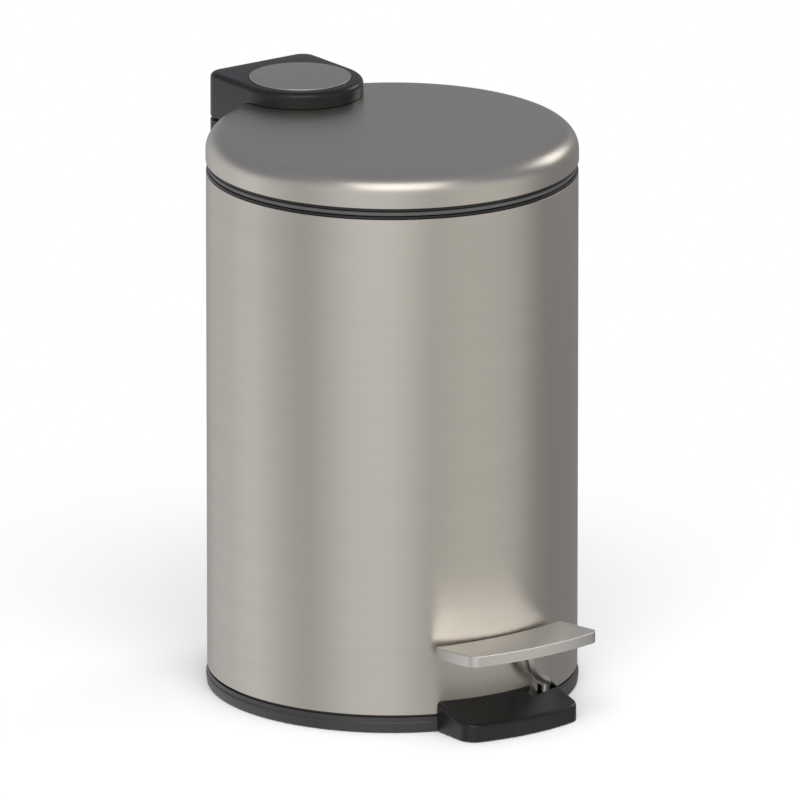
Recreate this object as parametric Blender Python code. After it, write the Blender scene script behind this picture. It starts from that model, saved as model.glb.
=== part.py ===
"""A small round pedal bin, in metres, +Z up.

The origin is on the axis of the round body at floor level. The pedal faces -Y
and the lid's hinge is at +Y. Pressing the pedal turns the lever in the base,
the lever lifts a wire rod up the back wall, and the rod turns the lid's crank.
"""
import math

import bmesh
import bpy
import numpy as np
from mathutils import Matrix, Vector

# Clearances
GAP = 0.0003              # between pieces that touch
OVERRUN = 0.003           # how far a cut runs past the face it opens
HOLE_PLAY = 0.0003        # radial play round a pin, rod or screw

# Body
BODY_RADIUS = 0.085
SHELL_WALL = 0.0008
SHELL_FOOT = 0.0085       # height of the steel's lower edge
SHELL_HEIGHT = 0.2344
SEAM_HEIGHT = 0.0052      # from the steel's upper edge to the lid's lower edge

# Base pan
PAN_LIFT = 0.0005         # underside of the pan above the floor
PAN_FLOOR = 0.002
PAN_RIM_INSET = 0.0002    # the ring is a little smaller than the steel
PAN_NECK_INSET = 0.0005
PAN_NECK_HEIGHT = 0.0009
PAN_EDGE = 0.0004
PAN_SIDE_FOOT = 0.0046     # below this height the ring's side draws in
PAN_DRAW_IN = 0.0005
SPIGOT_WALL = 0.0024
SPIGOT_HEIGHT = 0.0155
FOOT_INSET = 0.013        # from the body's surface to the foot's outer edge
FOOT_WIDTH = 0.006
FOOT_HEIGHT = 0.001

# Collar and bucket
COLLAR_FLANGE = 0.0011
COLLAR_WIDTH = 0.0045
COLLAR_SKIRT_WALL = 0.0019
COLLAR_SKIRT_HEIGHT = 0.0064
COLLAR_INSET = 0.0002
BUCKET_RIM = 0.0017
BUCKET_RIM_INSET = 0.0006
BUCKET_WALL = 0.0012
BUCKET_INSET = 0.0125     # from the body's surface to the bucket under its rim
BUCKET_DRAFT = 0.0035     # how much smaller the bucket is at its foot
BUCKET_FOOT_ROUND = 0.003
BUCKET_LIFT = 0.038
LUG_WIDTH = 0.008
LUG_THICKNESS = 0.002
LUG_INSET = 0.005         # from the rim's outer edge to the lug's outer face
BAIL_WIRE = 0.0026        # diameter
BAIL_PLAY = 0.0006        # height of the resting bail above the rim

# Lid
LID_OVERHANG = 0.0002
LID_SKIRT = 0.0046
LID_SHOULDER_RISE = 0.0102
LID_SHOULDER_RUN = 0.0101
LID_WALL = 0.0008
LINER_WALL = 0.0014

# Hinge box behind the body, in two halves
BOX_HALF_WIDTH = 0.0282
BOX_DEPTH = 0.0222        # rear face behind the body's surface
BOX_CORNER = 0.0075
BOX_WALL = 0.002
BOX_EDGE = 0.0027
COVER_TOP_RISE = 0.0076   # cover's top above the lid's top
COVER_LIP = 0.0011        # cover's lower edge above the lid's lower edge
COVER_FOOT_EDGE = 0.0012
COVER_CEILING = 0.0024
HOUSING_DROP = 0.0423     # housing's height
HOUSING_FLOOR = 0.0022
SEAM_GAP = 0.0009         # between the two halves
BADGE_MARGIN = 0.0047     # from the badge's edge to the box's sides
BADGE_OFFSET = 0.0122     # badge centre in front of the body's rear
BADGE_THICKNESS = 0.0016
BADGE_PROUD = 0.0006
BADGE_EDGE = 0.0004

# Hinge
AXIS_INSET = 0.0028       # hinge axis from the cover's rear and lower faces
PIN_RADIUS = 0.001
KNUCKLE_RADIUS = 0.0025
ARM_HALF_WIDTH = 0.0077
EAR_THICKNESS = 0.0036
CRANK_REACH = 0.0125      # rod behind the body, measured back from the axis
CRANK_SWING = math.radians(80.0)
CRANK_THICKNESS = 0.003
CRANK_START = 0.0022      # crank's near face from the middle plane
CRANK_RIM = 0.0014
CRANK_PLAY = 0.001        # play of the rod's pin in the crank's slot, each side
ARM_WEB_HEIGHT = 0.004
ARM_PAD_MARGIN = 0.004    # pad beyond the lid screws
ARM_PAD_LENGTH = 0.012
ARM_PAD_THICKNESS = 0.0018
NOTCH_HEIGHT = 0.0075     # notch in the lid's skirt for the arm

# Lift rod
ROD_WIRE = 0.0025         # diameter
ROD_INSET = 0.009         # rod's inner run from the body's surface
ROD_JOG_RISE = 0.006      # from the housing's underside to the bend out of the wall
ROD_PIN_LENGTH = 0.0072
BRACKET_WALL = 0.0016
BRACKET_SIDE_MARGIN = 0.005
BRACKET_MARGIN = 0.006
GUIDE_WIDTH = 0.009
GUIDE_HEIGHT = 0.007
GUIDE_WALL = 0.0018
POST_HALF_WIDTH = 0.007
POST_HEIGHT = 0.024

# Pedal lever
PIVOT_SET_BACK = 0.047    # pivot behind the body's front
PIVOT_HEIGHT = 0.018
PIVOT_SHIFT = 0.004       # pivot to the left of the crossing
PIVOT_PIN_RADIUS = 0.0015
PIVOT_BOSS_RADIUS = 0.0042
PIVOT_BOSS_LENGTH = 0.0084
BRACKET_EAR = 0.003
BRACKET_EAR_RADIUS = 0.005
PIN_HEAD = 0.0012
PIN_HEAD_RADIUS = 0.0026
LEVER_WIDTH = 0.0042
LEVER_THICKNESS = 0.0038
LEVER_EDGE = 0.001
LEVER_EYE_RADIUS = 0.0034
LEVER_EYE_LENGTH = 0.004
LEVER_EYE_X = 0.004
LEVER_EYE_PLAY = 0.0006   # lengthwise play of the rod's pin in the lever's eye
ARM_TOP_X = 0.0088        # where the visible arm meets the plate
ARM_TOP_OUT = 0.0095      # beyond the body's surface, along the radius
ARM_FOOT_SHIFT = 0.001    # where it enters the housing, to the left of the crossing
ARM_FOOT_OUT = 0.0032
ARM_FOOT_RISE = 0.0011    # above the housing's rear edge
ARM_BEND_SHARES = (0.15, 0.5, 0.75)
CROSSING_SET_IN = 0.006   # where it crosses the wall, from the housing's right end
CROSSING_DROP = 0.0028    # below the housing's rear edge
CROSSING_RUN = 0.01
CROSSING_PLAY = 0.0015
GATE_EDGE_X = 0.0165      # where the gate breaks the top's rear edge, on its left
GATE_EDGE_DEPTH = 0.0006  # from that edge to where the gate's side starts to slant
GATE_PLAY = 0.0008        # between the arm and the gate's front edge
CROSSING_FLOOR = 0.0008   # floor left under the crossing
CROSSING_DEPTH = 0.0157   # how far in the cut for the crossing runs

# Pedal plate
PLATE_TOP = 0.0419        # at its rear edge
PLATE_RISE = 0.001        # of the front edge above the rear one
PLATE_HEIGHT = 0.0052
PLATE_WALL = 0.0015
PLATE_GAP = 0.0022        # between the plate and the body
PLATE_REACH = 0.0236      # depth in the middle
PLATE_HALF_WIDTH = 0.0355
PLATE_REAR_BOW = 0.135    # plan radius of its rear edge
PLATE_FRONT_BOW = 0.3
PLATE_FRONT_CORNER = 0.005
PLATE_REAR_CORNER = 0.0022
PLATE_EDGE = 0.0006
PLATE_BOSS_RADIUS = 0.0028
PLATE_BOSS_HEIGHT = 0.0021
PAD_LENGTH = 0.024
PAD_DEPTH = 0.009
PAD_THICKNESS = 0.0018

# Pedal housing
BLOCK_HALF_WIDTH = 0.032
BLOCK_REACH = 0.022
BLOCK_LIFT = 0.0005
BLOCK_REAR_HEIGHT = 0.0145
BLOCK_FRONT_HEIGHT = 0.0085
BLOCK_WALL = 0.0018
BLOCK_CORNER = 0.006
BLOCK_EDGE = 0.0024
BLOCK_BOSS_PLACES = (-0.016, 0.004)
BLOCK_BOSS_RADIUS = 0.0026
BLOCK_BOSS_LENGTH = 0.007
BLOCK_SCREW_HEIGHT = 0.0058

# Screws
SCREW_RADIUS = 0.0013
SCREW_HEAD_RADIUS = 0.0026
SCREW_HEAD = 0.0014
SCREW_BITE = 0.0045       # thread in the boss
BOSS_RADIUS = 0.0032
LID_SCREW_X = 0.014
LID_SCREW_SET_IN = 0.023  # in front of the body's rear
HOUSING_SCREW_X = 0.016
HOUSING_SCREW_RISE = 0.008
HOUSING_BOSS_RADIUS = 0.0034

# Facets
ROUND_STEPS = 60
PIN_STEPS = 12
WIRE_STEPS = 8
SECTOR_STEPS = 16
BAR_STEPS = 8
CORNER_STEPS = 5
EDGE_STEPS = 3
NOSE_STEPS = 28
SHOULDER_STEPS = 4
ARM_STEPS = 6
BEND_STEPS = 3
SHARP_ANGLE = math.radians(35.0)

# Heights and places that follow
SHELL_TOP = SHELL_FOOT + SHELL_HEIGHT
LID_FOOT = SHELL_TOP + SEAM_HEIGHT
LID_RADIUS = BODY_RADIUS + LID_OVERHANG
LID_TOP = LID_FOOT + LID_SKIRT + LID_SHOULDER_RISE
COLLAR_TOP = SHELL_TOP + GAP + COLLAR_FLANGE
RIM_FOOT = COLLAR_TOP + GAP
RIM_TOP = RIM_FOOT + BUCKET_RIM
RIM_RADIUS = BODY_RADIUS - BUCKET_RIM_INSET
BAIL_AXIS_HEIGHT = RIM_TOP + BAIL_PLAY + BAIL_WIRE / 2
LUG_OUTER = RIM_RADIUS - LUG_INSET
PAN_FLOOR_TOP = PAN_LIFT + PAN_FLOOR
FOOT_RADIUS = BODY_RADIUS - FOOT_INSET
BUCKET_TOP_RADIUS = BODY_RADIUS - BUCKET_INSET
BUCKET_FOOT_RADIUS = BUCKET_TOP_RADIUS - BUCKET_DRAFT
SPIGOT_RADIUS = BODY_RADIUS - SHELL_WALL - GAP
SPIGOT_INNER = SPIGOT_RADIUS - SPIGOT_WALL
PAN_RADIUS = BODY_RADIUS - PAN_RIM_INSET
SPIGOT_TOP = SHELL_FOOT + SPIGOT_HEIGHT
BOX_REAR = BODY_RADIUS + BOX_DEPTH
COVER_FOOT = LID_FOOT + COVER_LIP
COVER_TOP = LID_TOP + COVER_TOP_RISE
HOUSING_TOP = COVER_FOOT - SEAM_GAP
HOUSING_FOOT = HOUSING_TOP - HOUSING_DROP
BADGE_RADIUS = BOX_HALF_WIDTH - BADGE_MARGIN
BADGE_Y = BODY_RADIUS - BADGE_OFFSET
AXIS_Y = BOX_REAR - AXIS_INSET
AXIS_Z = COVER_FOOT + AXIS_INSET
EAR_START = ARM_HALF_WIDTH + GAP
EAR_END = EAR_START + EAR_THICKNESS
ROD_REAR_Y = AXIS_Y - CRANK_REACH
ROD_Y = BODY_RADIUS - ROD_INSET
ROD_JOG_HEIGHT = HOUSING_FOOT + ROD_JOG_RISE
ROD_TRAVEL = 2 * CRANK_REACH * math.tan(CRANK_SWING / 2)
ROD_TOP = AXIS_Z - ROD_TRAVEL / 2
PIVOT_Y = PIVOT_SET_BACK - BODY_RADIUS
LEVER_LENGTH = ROD_Y - PIVOT_Y
LEVER_TILT = math.asin(ROD_TRAVEL / 2 / LEVER_LENGTH)
ROD_FOOT = PIVOT_HEIGHT - ROD_TRAVEL / 2
PLATE_INNER = BODY_RADIUS + PLATE_GAP
PLATE_OUTER = PLATE_INNER + PLATE_REACH
BLOCK_INNER = BODY_RADIUS + GAP
BLOCK_OUTER = BLOCK_INNER + BLOCK_REACH
CROSSING_X = BLOCK_HALF_WIDTH - CROSSING_SET_IN
CROSSING_HEIGHT = BLOCK_REAR_HEIGHT - CROSSING_DROP
ARM_FOOT_X = CROSSING_X - ARM_FOOT_SHIFT
ARM_FOOT_HEIGHT = BLOCK_REAR_HEIGHT + ARM_FOOT_RISE
PIVOT_X = CROSSING_X - PIVOT_SHIFT
LINER_TOP = LID_TOP - LID_WALL - GAP
LINER_UNDER = LINER_TOP - LINER_WALL
LINER_RADIUS = LID_RADIUS - LID_WALL - GAP
LID_SCREW_Y = BODY_RADIUS - LID_SCREW_SET_IN
ARM_PAD_HALF_WIDTH = LID_SCREW_X + ARM_PAD_MARGIN
BRACKET_HALF_WIDTH = HOUSING_SCREW_X + BRACKET_SIDE_MARGIN
NOTCH_HALF_WIDTH = ARM_HALF_WIDTH + GAP


def clear_scene():
    """Remove every object that the scene starts with."""
    for item in list(bpy.data.objects):
        bpy.data.objects.remove(item, do_unlink=True)


def make_material(name, colour, roughness, metallic):
    """Return a Principled material."""
    material = bpy.data.materials.new(name)
    material.use_nodes = True
    shader = material.node_tree.nodes["Principled BSDF"]
    shader.inputs["Base Color"].default_value = (*colour, 1.0)
    shader.inputs["Roughness"].default_value = roughness
    shader.inputs["Metallic"].default_value = metallic
    return material


def make_object(name, mesh_work, material, origin=(0, 0, 0), parent=None):
    """Turn a bmesh in world coordinates into an object whose origin is at origin."""
    bmesh.ops.recalc_face_normals(mesh_work, faces=mesh_work.faces)
    mesh_work.transform(Matrix.Translation(-Vector(origin)))
    mesh = bpy.data.meshes.new(name)
    mesh_work.to_mesh(mesh)
    mesh_work.free()
    mesh.shade_smooth()
    mesh.set_sharp_from_angle(angle=SHARP_ANGLE)
    item = bpy.data.objects.new(name, mesh)
    bpy.context.scene.collection.objects.link(item)
    if material is not None:
        mesh.materials.append(material)
    if parent is None:
        item.location = origin
    else:
        item.parent = parent
        item.location = Vector(origin) - parent.location
    return item


def make_pivot(name, origin):
    """Return an empty on a joint's axis."""
    empty = bpy.data.objects.new(name, None)
    empty.location = origin
    bpy.context.scene.collection.objects.link(empty)
    return empty


def combine(item, tool, operation):
    """Apply a tool to an item with a Boolean modifier and hide the tool."""
    tool.hide_render = True
    tool.display_type = "WIRE"
    step = item.modifiers.new(tool.name, "BOOLEAN")
    step.operation = operation
    step.solver = "EXACT"
    step.object = tool


def cut(item, work, name):
    """Take a bmesh away from an item."""
    combine(item, make_object(item.name + "." + name, work, None), "DIFFERENCE")


def fuse(item, work, name):
    """Add a bmesh to an item."""
    combine(item, make_object(item.name + "." + name, work, None), "UNION")


def revolved(profile, steps=ROUND_STEPS):
    """Turn a closed (radius, height) profile round the Z axis."""
    work = bmesh.new()
    points = [work.verts.new((radius, 0, height)) for radius, height in profile]
    pairs = zip(points, points[1:] + points[:1])
    edges = [work.edges.new(pair) for pair in pairs if pair[0].co.x + pair[1].co.x > 0]
    bmesh.ops.spin(work, geom=points + edges, cent=(0, 0, 0), axis=(0, 0, 1),
                   angle=math.tau, steps=steps, use_merge=True)
    bmesh.ops.remove_doubles(work, verts=work.verts, dist=GAP / 100)
    return work


def sector(profile, half_angle, steps=SECTOR_STEPS):
    """Sweep a closed (radius, height) profile round Z, centred on the front."""
    work = bmesh.new()
    side = math.sin(-half_angle)
    front = -math.cos(half_angle)
    points = [work.verts.new((side * r, front * r, z)) for r, z in profile]
    face = work.faces.new(points)
    bmesh.ops.spin(work, geom=[face] + list(face.edges) + points, cent=(0, 0, 0),
                   axis=(0, 0, 1), angle=2 * half_angle, steps=steps)
    bmesh.ops.remove_doubles(work, verts=work.verts, dist=GAP / 100)
    return work


def block(low, high):
    """Return a box between two corners."""
    work = bmesh.new()
    low = Vector(low)
    high = Vector(high)
    bmesh.ops.create_cube(work, size=1.0)
    bmesh.ops.scale(work, vec=high - low, verts=work.verts)
    bmesh.ops.translate(work, vec=(low + high) / 2, verts=work.verts)
    return work


def rod(start, end, radius, steps=PIN_STEPS):
    """Return a cylinder between two points."""
    work = bmesh.new()
    start = Vector(start)
    end = Vector(end)
    span = end - start
    turn = span.to_track_quat("Z", "X").to_matrix().to_4x4()
    bmesh.ops.create_cone(work, cap_ends=True, segments=steps, radius1=radius,
                          radius2=radius, depth=span.length,
                          matrix=Matrix.Translation((start + end) / 2) @ turn)
    return work


def prism(outline, low, high, axis="Z"):
    """Extrude a flat outline along an axis between two places.

    With axis Z the outline's points are (x, y), and with axis X they are (y, z).
    """
    work = bmesh.new()
    if axis == "Z":
        points = [work.verts.new((a, b, low)) for a, b in outline]
        move = Vector((0, 0, high - low))
    else:
        points = [work.verts.new((low, a, b)) for a, b in outline]
        move = Vector((high - low, 0, 0))
    face = work.faces.new(points)
    grown = bmesh.ops.extrude_face_region(work, geom=[face])
    moved = [part for part in grown["geom"] if isinstance(part, bmesh.types.BMVert)]
    bmesh.ops.translate(work, vec=move, verts=moved)
    return work


def arc(centre, radius, start, end, steps):
    """Return points on an arc, in degrees, both ends included."""
    angles = np.radians(np.linspace(start, end, steps + 1))
    return [(centre[0] + radius * math.cos(a), centre[1] + radius * math.sin(a))
            for a in angles]


def bevelled(work, chosen, width, steps):
    """Round the edges that the test chooses."""
    edges = [edge for edge in work.edges if chosen(edge)]
    bmesh.ops.bevel(work, geom=edges, offset=width, segments=steps, profile=0.5,
                    affect="EDGES", clamp_overlap=True)
    return work


def lofted(sections):
    """Join closed sections that have the same number of points, and cap both ends."""
    work = bmesh.new()
    rings = [[work.verts.new(point) for point in section] for section in sections]
    for first, second in zip(rings, rings[1:]):
        for index, vert in enumerate(first):
            nxt = (index + 1) % len(first)
            work.faces.new((vert, first[nxt], second[nxt], second[index]))
    work.faces.new(rings[0][::-1])
    work.faces.new(rings[-1])
    return work


def plan_depth(x, middle, bow):
    """Distance of a plan arc in front of the axis at x: middle less the arc's sag."""
    return middle - bow + math.sqrt(bow ** 2 - x ** 2)


def corner_pull(x, half_width, corner):
    """How far a rounded corner draws a plan outline in at x."""
    inside = min(max(0.0, abs(x) - half_width + corner), corner)
    return corner - math.sqrt(corner ** 2 - inside ** 2)


def rounded_bar(arcs, heights, half_width, corners, edge):
    """A bowed bar across the front with straight ends, made of columns side by side.

    arcs is (middle, bow) for the side behind and the side in front, heights is
    (foot, top behind, top in front) and corners is the plan radius (behind, in
    front). Each column is cut at one x, and edge rounds its upper edges on all
    four sides. The top's height goes by the distance from the axis.
    """
    (inner, inner_bow), (outer, outer_bow) = arcs
    low, rear_top, front_top = heights
    behind, ahead = corners
    slope = (front_top - rear_top) / (outer - inner)
    reach = max(behind, ahead)
    side = [half_width - reach * (1 - math.sin(t))
            for t in np.linspace(0.0, math.pi / 2, CORNER_STEPS + EDGE_STEPS)]
    middle = list(np.linspace(-side[0], side[0], BAR_STEPS + 1)[1:-1])
    rounds = np.linspace(0.0, math.pi / 2, EDGE_STEPS + 1)
    columns = []
    for x in [-a for a in side[::-1]] + middle + side:
        rear = plan_depth(x, inner, inner_bow) + corner_pull(x, half_width, behind)
        front = plan_depth(x, outer, outer_bow) - corner_pull(x, half_width, ahead)
        inside = max(0.0, edge - (half_width - abs(x)))
        drop = edge - math.sqrt(edge ** 2 - min(inside, edge) ** 2)
        rear_height = rear_top + slope * (math.hypot(x, rear) - inner) - drop
        front_height = rear_top + slope * (math.hypot(x, front) - inner) - drop
        column = [(rear, low)]
        if behind:
            column += [(rear + edge * (1 - math.cos(t)), rear_height - edge * (1 - math.sin(t)))
                       for t in rounds]
        else:
            column += [(rear, rear_height)]
        column += [(front - edge * (1 - math.sin(t)), front_height - edge * (1 - math.cos(t)))
                   for t in rounds]
        column += [(front, low)]
        columns.append([(x, -depth, z) for depth, z in column])
    return lofted(columns)


def swept(path, section, side):
    """Sweep a flat section along a path of points.

    The section's first axis stays level, across the path, turned from side.
    """
    path = [Vector(point) for point in path]
    rings = []
    for index, point in enumerate(path):
        before = (point - path[index - 1]).normalized() if index else None
        after = None
        if index < len(path) - 1:
            after = (path[index + 1] - point).normalized()
        along = (before or after) + (after or before)
        along.normalize()
        across = (side - along * side.dot(along)).normalized()
        over = along.cross(across)
        stretch = 1 / along.dot(after or before)
        rings.append([point + across * a + over * b * stretch for a, b in section])
    return lofted(rings)


def round_section(radius, steps):
    """Return a circle as a section."""
    angles = [math.tau * index / steps for index in range(steps)]
    return [(radius * math.cos(a), radius * math.sin(a)) for a in angles]


def bar_section(width, thickness, edge):
    """Return a rectangle with cut corners as a section."""
    a = width / 2
    b = thickness / 2
    return [(a, -b + edge), (a, b - edge), (a - edge, b), (-a + edge, b),
            (-a, b - edge), (-a, -b + edge), (-a + edge, -b), (a - edge, -b)]


def wire(path, diameter, bend, steps=WIRE_STEPS):
    """Return a round wire along straight runs whose corners are rounded."""
    points = [Vector(path[0])]
    for before, corner, after in zip(path, path[1:], path[2:]):
        corner = Vector(corner)
        back = (Vector(before) - corner).normalized() * bend
        ahead = (Vector(after) - corner).normalized() * bend
        for share in np.linspace(0.0, 1.0, BEND_STEPS + 1):
            turn = share * math.pi / 2
            points.append(corner + back * (1 - math.sin(turn))
                          + ahead * (1 - math.cos(turn)))
    points.append(Vector(path[-1]))
    section = round_section(diameter / 2, steps)
    frame = None
    rings = []
    for index, point in enumerate(points):
        before = point - points[max(index - 1, 0)]
        after = points[min(index + 1, len(points) - 1)] - point
        along = (before.normalized() + after.normalized()).normalized()
        if frame is None:
            frame = along.orthogonal().normalized()
        frame = (frame - along * frame.dot(along)).normalized()
        other = along.cross(frame)
        rings.append([point + frame * a + other * b for a, b in section])
    return lofted(rings)


def screw(name, head_face, direction, length, material, parent=None):
    """Make a pan-head screw whose head lies under head_face and points along direction."""
    face = Vector(head_face)
    way = Vector(direction).normalized()
    item = make_object(name, rod(face - way * SCREW_HEAD, face, SCREW_HEAD_RADIUS), material,
                       face, parent)
    fuse(item, rod(face - way * SCREW_HEAD / 2, face + way * length, SCREW_RADIUS), "shank")
    return item


# Body

def make_shell(steel):
    """The steel tube, with a slot for the rod and a notch for the lever."""
    outer = BODY_RADIUS
    inner = BODY_RADIUS - SHELL_WALL
    profile = [(outer, SHELL_TOP), (outer, SHELL_FOOT), (inner, SHELL_FOOT),
               (inner, SHELL_TOP)]
    shell = make_object("body_shell", revolved(profile), steel, (0, 0, SHELL_FOOT))
    half = ROD_WIRE / 2 + OVERRUN / 2
    cut(shell, block((-half, BODY_RADIUS / 2, ROD_JOG_HEIGHT - half),
                     (half, BOX_REAR, ROD_JOG_HEIGHT + ROD_TRAVEL + half)), "rod_slot")
    cut(shell, crossing_block(), "lever_notch")
    for side in (-1, 1):
        x = side * HOUSING_SCREW_X
        cut(shell, rod((x, BODY_RADIUS / 2, housing_screw_height()),
                       (x, BOX_REAR, housing_screw_height()), SCREW_RADIUS + HOLE_PLAY),
            "screw_hole")
    return shell


def crossing_block():
    """The space in which the lever crosses the wall, up and down."""
    half = LEVER_WIDTH / 2 + CROSSING_PLAY
    top = CROSSING_HEIGHT + LEVER_THICKNESS / 2 + HOLE_PLAY
    return block((CROSSING_X - half, -BODY_RADIUS - OVERRUN, PAN_LIFT + CROSSING_FLOOR),
                 (CROSSING_X + half, -BODY_RADIUS + CROSSING_DEPTH, top))


def housing_screw_height():
    """Height of the screws that hold the hinge housing."""
    return HOUSING_FOOT + HOUSING_SCREW_RISE


def make_pan(plastic):
    """The moulded base: ring, floor, spigot, pivot ears and the rod's lower guide."""
    neck = BODY_RADIUS - PAN_NECK_INSET
    under = SHELL_FOOT - GAP
    groove = FOOT_HEIGHT + GAP
    pan_foot = PAN_RADIUS - PAN_DRAW_IN
    foot_out = FOOT_RADIUS + GAP
    foot_in = FOOT_RADIUS - FOOT_WIDTH - GAP
    profile = [(0, PAN_FLOOR_TOP), (SPIGOT_INNER, PAN_FLOOR_TOP), (SPIGOT_INNER, SPIGOT_TOP),
               (SPIGOT_RADIUS, SPIGOT_TOP), (SPIGOT_RADIUS, under), (neck, under),
               (neck, under - PAN_NECK_HEIGHT + PAN_EDGE),
               (PAN_RADIUS, under - PAN_NECK_HEIGHT),
               (PAN_RADIUS, PAN_SIDE_FOOT), (pan_foot, PAN_LIFT + PAN_EDGE),
               (pan_foot - PAN_EDGE, PAN_LIFT),
               (foot_out, PAN_LIFT), (foot_out, groove), (foot_in, groove),
               (foot_in, PAN_LIFT), (0, PAN_LIFT)]
    pan = make_object("base_pan", revolved(profile), plastic, (0, 0, PAN_LIFT))
    for side in (-1, 1):
        start = PIVOT_X + side * (PIVOT_BOSS_LENGTH / 2 + GAP)
        fuse(pan, pivot_ear(start, start + side * BRACKET_EAR), "ear")
    fuse(pan, rear_post(), "post")
    cut(pan, rod((PIVOT_X - PIVOT_BOSS_LENGTH, PIVOT_Y, PIVOT_HEIGHT),
                 (PIVOT_X + PIVOT_BOSS_LENGTH, PIVOT_Y, PIVOT_HEIGHT),
                 PIVOT_PIN_RADIUS + HOLE_PLAY), "pin_hole")
    cut(pan, crossing_block(), "lever_gate")
    cut(pan, rod((0, ROD_Y, SPIGOT_TOP - OVERRUN),
                 (0, ROD_Y, SPIGOT_TOP + POST_HEIGHT + OVERRUN),
                 ROD_WIRE / 2 + HOLE_PLAY), "rod_hole")
    for x in BLOCK_BOSS_PLACES:
        cut(pan, radial_rod(boss_angle(x), BLOCK_SCREW_HEIGHT, SPIGOT_INNER - OVERRUN,
                            BODY_RADIUS + OVERRUN, SCREW_RADIUS + HOLE_PLAY), "screw_hole")
    return pan


def pivot_ear(start, end):
    """An upright ear with a round top, from the floor to round the pivot."""
    low, high = sorted((start, end))
    radius = BRACKET_EAR_RADIUS
    outline = arc((PIVOT_Y, PIVOT_HEIGHT), radius, 0, 180, PIN_STEPS)
    outline += [(PIVOT_Y - radius, PAN_FLOOR_TOP - PAN_FLOOR / 2),
                (PIVOT_Y + radius, PAN_FLOOR_TOP - PAN_FLOOR / 2)]
    return prism(outline, low, high, "X")


def rear_post():
    """The upright rib on the spigot that ends in a guide for the rod."""
    top = SPIGOT_TOP + POST_HEIGHT
    reach = math.sqrt(SPIGOT_RADIUS ** 2 - POST_HALF_WIDTH ** 2)
    back = reach - SPIGOT_WALL
    front = ROD_Y - ROD_WIRE / 2 - GUIDE_WALL
    outline = [(reach, SPIGOT_TOP - PAN_FLOOR), (reach, top), (front, top),
               (front, top - GUIDE_HEIGHT), (back, top - GUIDE_HEIGHT),
               (back, SPIGOT_TOP - PAN_FLOOR)]
    return prism(outline, -POST_HALF_WIDTH, POST_HALF_WIDTH, "X")


def boss_angle(x):
    """The angle from the front at which a boss behind the housing stands."""
    return math.asin(x / BLOCK_INNER)


def radial_rod(angle, height, start, end, radius):
    """A level cylinder along the radius at an angle from the front."""
    way = Vector((math.sin(angle), -math.cos(angle), 0))
    lift = Vector((0, 0, height))
    return rod(way * start + lift, way * end + lift, radius)


def make_foot(rubber):
    """The non-slip ring that the bin stands on."""
    inner = FOOT_RADIUS - FOOT_WIDTH
    profile = [(FOOT_RADIUS, FOOT_HEIGHT), (FOOT_RADIUS, 0), (inner, 0), (inner, FOOT_HEIGHT)]
    return make_object("foot_ring", revolved(profile), rubber)


def make_collar(plastic):
    """The ring that caps the steel's upper edge and carries the bucket."""
    outer = BODY_RADIUS - COLLAR_INSET
    skirt = BODY_RADIUS - SHELL_WALL - GAP
    foot = SHELL_TOP + GAP
    inner = outer - COLLAR_WIDTH
    profile = [(outer, COLLAR_TOP), (outer, foot), (skirt, foot),
               (skirt, foot - COLLAR_SKIRT_HEIGHT),
               (skirt - COLLAR_SKIRT_WALL, foot - COLLAR_SKIRT_HEIGHT),
               (inner, COLLAR_TOP)]
    collar = make_object("top_collar", revolved(profile), plastic, (0, 0, SHELL_TOP))
    cut(collar, crank_recess(), "crank_recess")
    return collar


def crank_recess():
    """The flat at the back of the collar and the rim that clears the crank."""
    half = CRANK_START + CRANK_THICKNESS + OVERRUN
    return block((-half, BODY_RADIUS - SHELL_WALL * 2, SHELL_TOP + GAP / 2),
                 (half, BOX_REAR, LID_FOOT))


# Bucket

def make_bucket(plastic):
    """The lift-out bucket, which hangs by its rim on the collar."""
    slope = (BUCKET_TOP_RADIUS - BUCKET_FOOT_RADIUS) / (RIM_FOOT - BUCKET_LIFT)
    foot = arc((BUCKET_FOOT_RADIUS - BUCKET_FOOT_ROUND, BUCKET_LIFT + BUCKET_FOOT_ROUND),
               BUCKET_FOOT_ROUND, 0, -90, CORNER_STEPS - 2)
    inner_foot = BUCKET_FOOT_RADIUS - BUCKET_WALL
    floor = BUCKET_LIFT + BUCKET_WALL
    inner = arc((inner_foot - BUCKET_FOOT_ROUND, floor + BUCKET_FOOT_ROUND),
                BUCKET_FOOT_ROUND, -90, 0, CORNER_STEPS - 2)
    inner_top = inner_foot + slope * (RIM_TOP - floor)
    profile = [(RIM_RADIUS, RIM_TOP), (RIM_RADIUS, RIM_FOOT), (BUCKET_TOP_RADIUS, RIM_FOOT)]
    profile += foot + [(0, BUCKET_LIFT), (0, floor)] + inner + [(inner_top, RIM_TOP)]
    bucket = make_object("inner_bucket", revolved(profile), plastic, (0, 0, BUCKET_LIFT))
    cut(bucket, crank_recess(), "crank_recess")
    for side in (-1, 1):
        fuse(bucket, bail_lug(side), "lug")
    cut(bucket, rod((-BODY_RADIUS, 0, BAIL_AXIS_HEIGHT), (BODY_RADIUS, 0, BAIL_AXIS_HEIGHT),
                    BAIL_WIRE / 2 + HOLE_PLAY), "lug_holes")
    return bucket


def bail_lug(side):
    """A round-topped lug on the rim, with the bail's end through it."""
    low, high = sorted((side * LUG_OUTER, side * (LUG_OUTER - LUG_THICKNESS)))
    half = LUG_WIDTH / 2
    foot = RIM_TOP - BUCKET_RIM / 2
    centre = RIM_TOP + BAIL_PLAY + BAIL_WIRE / 2
    top = arc((0, centre), BAIL_WIRE, 0, 180, PIN_STEPS // 2)
    return prism(top + [(-half, RIM_TOP), (-half, foot), (half, foot), (half, RIM_TOP)],
                 low, high, "X")


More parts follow.
